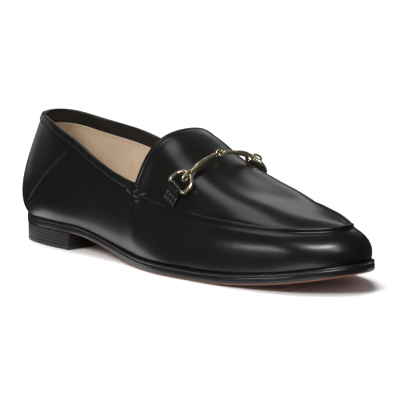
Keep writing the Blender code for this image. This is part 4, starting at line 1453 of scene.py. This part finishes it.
def capsule(a, b, radius, out, rise=0.0):
    """Short thread between two points, bowed out a little, with round ends."""
    a, b, out = np.asarray(a), np.asarray(b), unit(out)
    steps, sides = 6, 8
    vertices = []
    along = unit(b - a)
    flat = unit(out - along * np.dot(out, along))
    other = np.cross(along, flat)
    for i in range(steps + 1):
        t = i / steps
        size = radius * max(0.25, math.sin(math.pi * (0.08 + 0.84 * t))**0.4)
        centre = a + (b - a) * t + flat * rise * math.sin(math.pi * t)
        for j in range(sides):
            angle = 2 * math.pi * j / sides
            vertices.append(centre + size * (flat * math.cos(angle) + other * math.sin(angle)))
    rings = numbered(steps + 1, sides)
    return vertices, strips(rings, True) + [rings[0][::-1], rings[-1]]


def along_line(points, normals, pitch):
    """Even steps on a line: position, normal and way along at each."""
    points, normals = np.array(points), np.array(normals)
    lengths = reached(points)
    count = max(1, int(lengths[-1] / pitch))
    spots = []
    for i in range(count):
        mark = lengths[-1] * (i + 0.5) / count
        here = np.array([np.interp(mark, lengths, points[:, k]) for k in range(3)])
        there = np.array([np.interp(mark + pitch / 4, lengths, points[:, k]) for k in range(3)])
        back = np.array([np.interp(mark - pitch / 4, lengths, points[:, k]) for k in range(3)])
        normal = unit([np.interp(mark, lengths, normals[:, k]) for k in range(3)])
        spots.append((here, normal, unit(there - back)))
    return spots


def stitch_row(points, normals, pitch=0.0024, share=0.72, radius=0.00019, sink=0.00006):
    """Machine stitches along a line of the surface."""
    parts = []
    for here, normal, along in along_line(points, normals, pitch):
        half = along * pitch * share / 2
        base = here + normal * (radius * 0.35 - sink)
        parts.append(capsule(base - half, base + half, radius, normal, radius * 0.5))
    return parts


def row_at(upper, skin, side, distance, first, last):
    """Line on the skin at a distance from the top line, between two columns."""
    j = WALL_ROWS + min(range(len(EDGE_MARKS)), key=lambda k: abs(EDGE_MARKS[k] - distance))
    numbers = [upper.wall[side][i][j] for i in range(first, last)]
    return skin[numbers], upper.normals[numbers]


# Fat hand stitches beside the opening's front corner: ends forward of it and above it in mm
KNOT = (
    # x0, z0, x1, z1
    (-5.4, -4.4, -1.1, -6.0),
    (0.9, -5.4, 4.8, -3.2),
    (6.2, -6.9, 10.4, -4.7),
    (1.4, -7.1, 5.7, -8.3),
    (3.8, -10.4, 6.7, -10.3),
)


def dress_stitches(upper, outer, tabs, tree):
    """Every black sewn line of the upper, in one piece."""
    parts = []
    for side in (-1, 1):
        points, normals = row_at(upper, outer, side, 0.0033, 3, upper.rear - 3)
        parts += stitch_row(points, normals)
    border = 6
    line = upper.apron[border][6:-6]
    parts += stitch_row(outer[line], upper.normals[line], 0.0021, 0.7, 0.00023, 0.0)
    for side in (-1, 1):
        numbers = []
        for i in range(12, len(upper.apron) - 1):
            q = 5 if side < 0 else -6
            numbers.append(upper.apron[i][q])
        parts += stitch_row(outer[numbers], upper.normals[numbers], 0.0026, 0.6, 0.00014, 0.0001)
    for side, (middle, forward, up, out, ground, tail) in tabs.items():
        for k in range(8):
            across = TAB_WIDTH * (-0.40 + 0.27 * (k % 4))
            row = 0.68 + 0.38 * (k // 4)
            for lean in (-1, 1):
                ends = []
                for way in (-1, 1):
                    a = across + lean * way * 0.0009
                    h = -tail * (row + way * 0.13)
                    cover = 1.25 * TAB_THICK if h > -tail else 0.0004
                    ends.append(middle + forward * a + up * h
                                + out * (ground(a, max(h, -tail * 1.1)) + cover + 0.0002))
                parts.append(capsule(ends[0], ends[1], 0.00038, out, 0.0003))
    for side in (-1, 1):
        corner = upper.wall[side][upper.rear][-1]
        here = outer[corner]
        normal = upper.normals[corner]
        for x0, z0, x1, z1 in KNOT:
            a = settle(tree, here + np.array([x0, 0.0, z0]) * 1e-3, normal)
            b = settle(tree, here + np.array([x1, 0.0, z1]) * 1e-3, normal)
            parts.append(capsule(a, b, 0.00052, normal, 0.0006))
    vertices, faces = join(parts)
    made = add_mesh("stitching_black", vertices, faces, [THREAD])
    outward(made)


def settle(tree, point, normal):
    """The point moved along the normal onto the leather, a little proud of it."""
    hit = tree.ray_cast(Vector(point + normal * 0.01), Vector(-normal))
    if hit[0] is None:
        return point
    return np.array(hit[0]) + normal * 0.0002


def dress_bit(upper, outer):
    faces = [tuple(int(c) for c in face) for face in upper.faces]
    tree = BVHTree.FromPolygons([tuple(point) for point in outer], faces)
    tabs = {}
    for side in (-1, 1):
        tabs[side] = dress_tab(side, tree)
        dress_ring(side)
        dress_bar(side, tree)
    return tabs, tree


def floor_piece(name, corners, finish):
    mesh = bpy.data.meshes.new(name)
    mesh.from_pydata([(x, y, 0.0) for x, y in corners], [], [tuple(range(len(corners)))])
    floor = bpy.data.objects.new(name, mesh)
    bpy.context.collection.objects.link(floor)
    mesh.materials.append(finish)
    return floor


def plain_stage():
    """Pale floor under a white sky that is dimmer in gloss; only the floor near the shoe mirrors."""
    f = Finish("floor_look")
    f.set(Base_Color=colour(0.92, 0.92, 0.92), Roughness=0.7, Specular_IOR_Level=0.2)
    x, y = TABLE
    near = [(-x, -y), (x, -y), (x, y), (-x, y)]
    far = [(math.copysign(FLOOR_REACH, a), math.copysign(FLOOR_REACH, b)) for a, b in near]
    floor_piece("floor", near, f.material)
    for k in range(4):
        n = (k + 1) % 4
        piece = floor_piece("floor_far_" + str(k), [near[k], far[k], far[n], near[n]],
                            f.material)
        piece.visible_glossy = False
    world = bpy.data.worlds.new("studio")
    world.use_nodes = True
    tree = world.node_tree
    back = tree.nodes["Background"]
    back.inputs["Color"].default_value = colour(1.0, 1.0, 1.0)
    ray = tree.nodes.new("ShaderNodeLightPath")
    dim = tree.nodes.new("ShaderNodeMapRange")
    dim.inputs["To Min"].default_value = SKY
    dim.inputs["To Max"].default_value = MIRRORED_SKY
    tree.links.new(ray.outputs["Is Glossy Ray"], dim.inputs["Value"])
    tree.links.new(dim.outputs["Result"], back.inputs["Strength"])
    bpy.context.scene.world = world


def direction(azimuth, elevation):
    """Way out from the shoe; azimuth 0 looks at its outer side, in degrees."""
    a, e = math.radians(azimuth), math.radians(elevation)
    return Vector((math.sin(a) * math.cos(e), -math.cos(a) * math.cos(e), math.sin(e)))


def light(name, azimuth, elevation, distance, size, size_y, radiance):
    """Soft box that faces the shoe, seen from it at an azimuth and elevation in degrees."""
    way = direction(azimuth, elevation)
    data = bpy.data.lights.new(name, "AREA")
    data.shape = "RECTANGLE"
    data.size = size
    data.size_y = size_y
    data.energy = radiance * 4 * size * size_y
    made = bpy.data.objects.new(name, data)
    made.location = Vector(LIT_SPOT) + way * distance
    made.rotation_euler = way.to_track_quat("Z", "Y").to_euler()
    made.visible_camera = False
    bpy.context.collection.objects.link(made)
    return made


def studio():
    """Soft boxes, a light for the inside and a sun.

    Only the overhead box also lights the leather itself: the other boxes show in its gloss alone,
    and the light for the inside and the sun don't show in gloss.
    """
    for row in LIGHT_TABLE:
        made = light(*row)
        made.visible_diffuse = row[0] == "overhead"
    inside = light(*INSIDE_LIGHT)
    inside.visible_glossy = False
    data = bpy.data.lights.new("sun", "SUN")
    data.energy = SUN
    data.angle = math.radians(SUN_ANGLE)
    sun = bpy.data.objects.new("sun", data)
    way = direction(*SUN_FROM)
    sun.rotation_euler = way.to_track_quat("Z", "Y").to_euler()
    sun.visible_glossy = False
    bpy.context.collection.objects.link(sun)


def photo_camera():
    """The photograph's own angle and distance, framed closer on the one shoe."""
    back = direction(PHOTO_AZIMUTH, PHOTO_ELEVATION)
    azimuth = math.radians(PHOTO_AZIMUTH)
    right = Vector((math.cos(azimuth), math.sin(azimuth), 0.0))
    up = back.cross(right)
    data = bpy.data.cameras.new("camera")
    data.sensor_width = SENSOR
    data.lens = SENSOR * PHOTO_SCALE * PHOTO_DISTANCE / PHOTO_WIDTH * FRAME_ZOOM
    camera = bpy.data.objects.new("camera", data)
    aim = Vector(PHOTO_AIM) + Vector(SHIFT)
    aim = aim + right * AIM_RIGHT + up * AIM_UP
    camera.location = aim + back * PHOTO_DISTANCE
    camera.rotation_mode = "QUATERNION"
    camera.rotation_quaternion = back.to_track_quat("Z", "Y")
    data.clip_start, data.clip_end = 0.05, 100.0
    bpy.context.collection.objects.link(camera)
    bpy.context.scene.camera = camera


# The photo's camera: degrees, metres, pixels per metre at the aim and width in pixels
PHOTO_AZIMUTH, PHOTO_ELEVATION = 45.0, 9.5
PHOTO_DISTANCE = 1.300
PHOTO_SCALE = 1455.0
PHOTO_WIDTH = 400.0
PHOTO_AIM = (0.131, 0.0, 0.030)
SENSOR = 36.0
FRAME_ZOOM = 1.18
AIM_RIGHT = 0.0062
AIM_UP = 0.0060
SKY = 0.26
MIRRORED_SKY = 0.035
SUN = 3.3
SUN_ANGLE = 36.0
SUN_FROM = (-110.0, 66.0)
LIT_SPOT = (0.03, 0.0, 0.04)
INSIDE_LIGHT = ("inside", -15.0, 42.0, 1.3, 0.5, 0.5, 12.0)
TABLE = (0.14, 0.049)
FLOOR_REACH = 30.0

LIGHT_TABLE = (
    # name, azimuth, elevation, distance, size, size_y, radiance
    ("overhead", -84.0, 74.0, 1.15, 0.56, 0.46, 1.35),
    ("back", -143.0, 27.0, 1.30, 0.62, 0.11, 1.40),
    ("back_wide", -145.0, 29.0, 1.34, 1.20, 0.32, 0.28),
    ("left", -96.0, 10.0, 1.30, 0.50, 0.50, 0.4),
    ("low_front", -1.0, 5.8, 1.20, 0.62, 0.09, 12.5),
    ("toe", 56.0, 36.0, 0.90, 0.20, 0.14, 28.0),
    ("toe_low", 66.0, 20.0, 0.90, 0.12, 0.12, 8.0),
)


def main():
    upper, outer = build_upper()
    dress_upper(upper, outer)
    dress_lining(upper)
    dress_lining_edge(upper)
    dress_sole()
    dress_heel()
    dress_insole()
    tabs, tree = dress_bit(upper, outer)
    dress_stitches(upper, outer, tabs, tree)
    plain_stage()
    studio()
    photo_camera()
    bpy.context.scene.view_settings.view_transform = "Standard"


main()
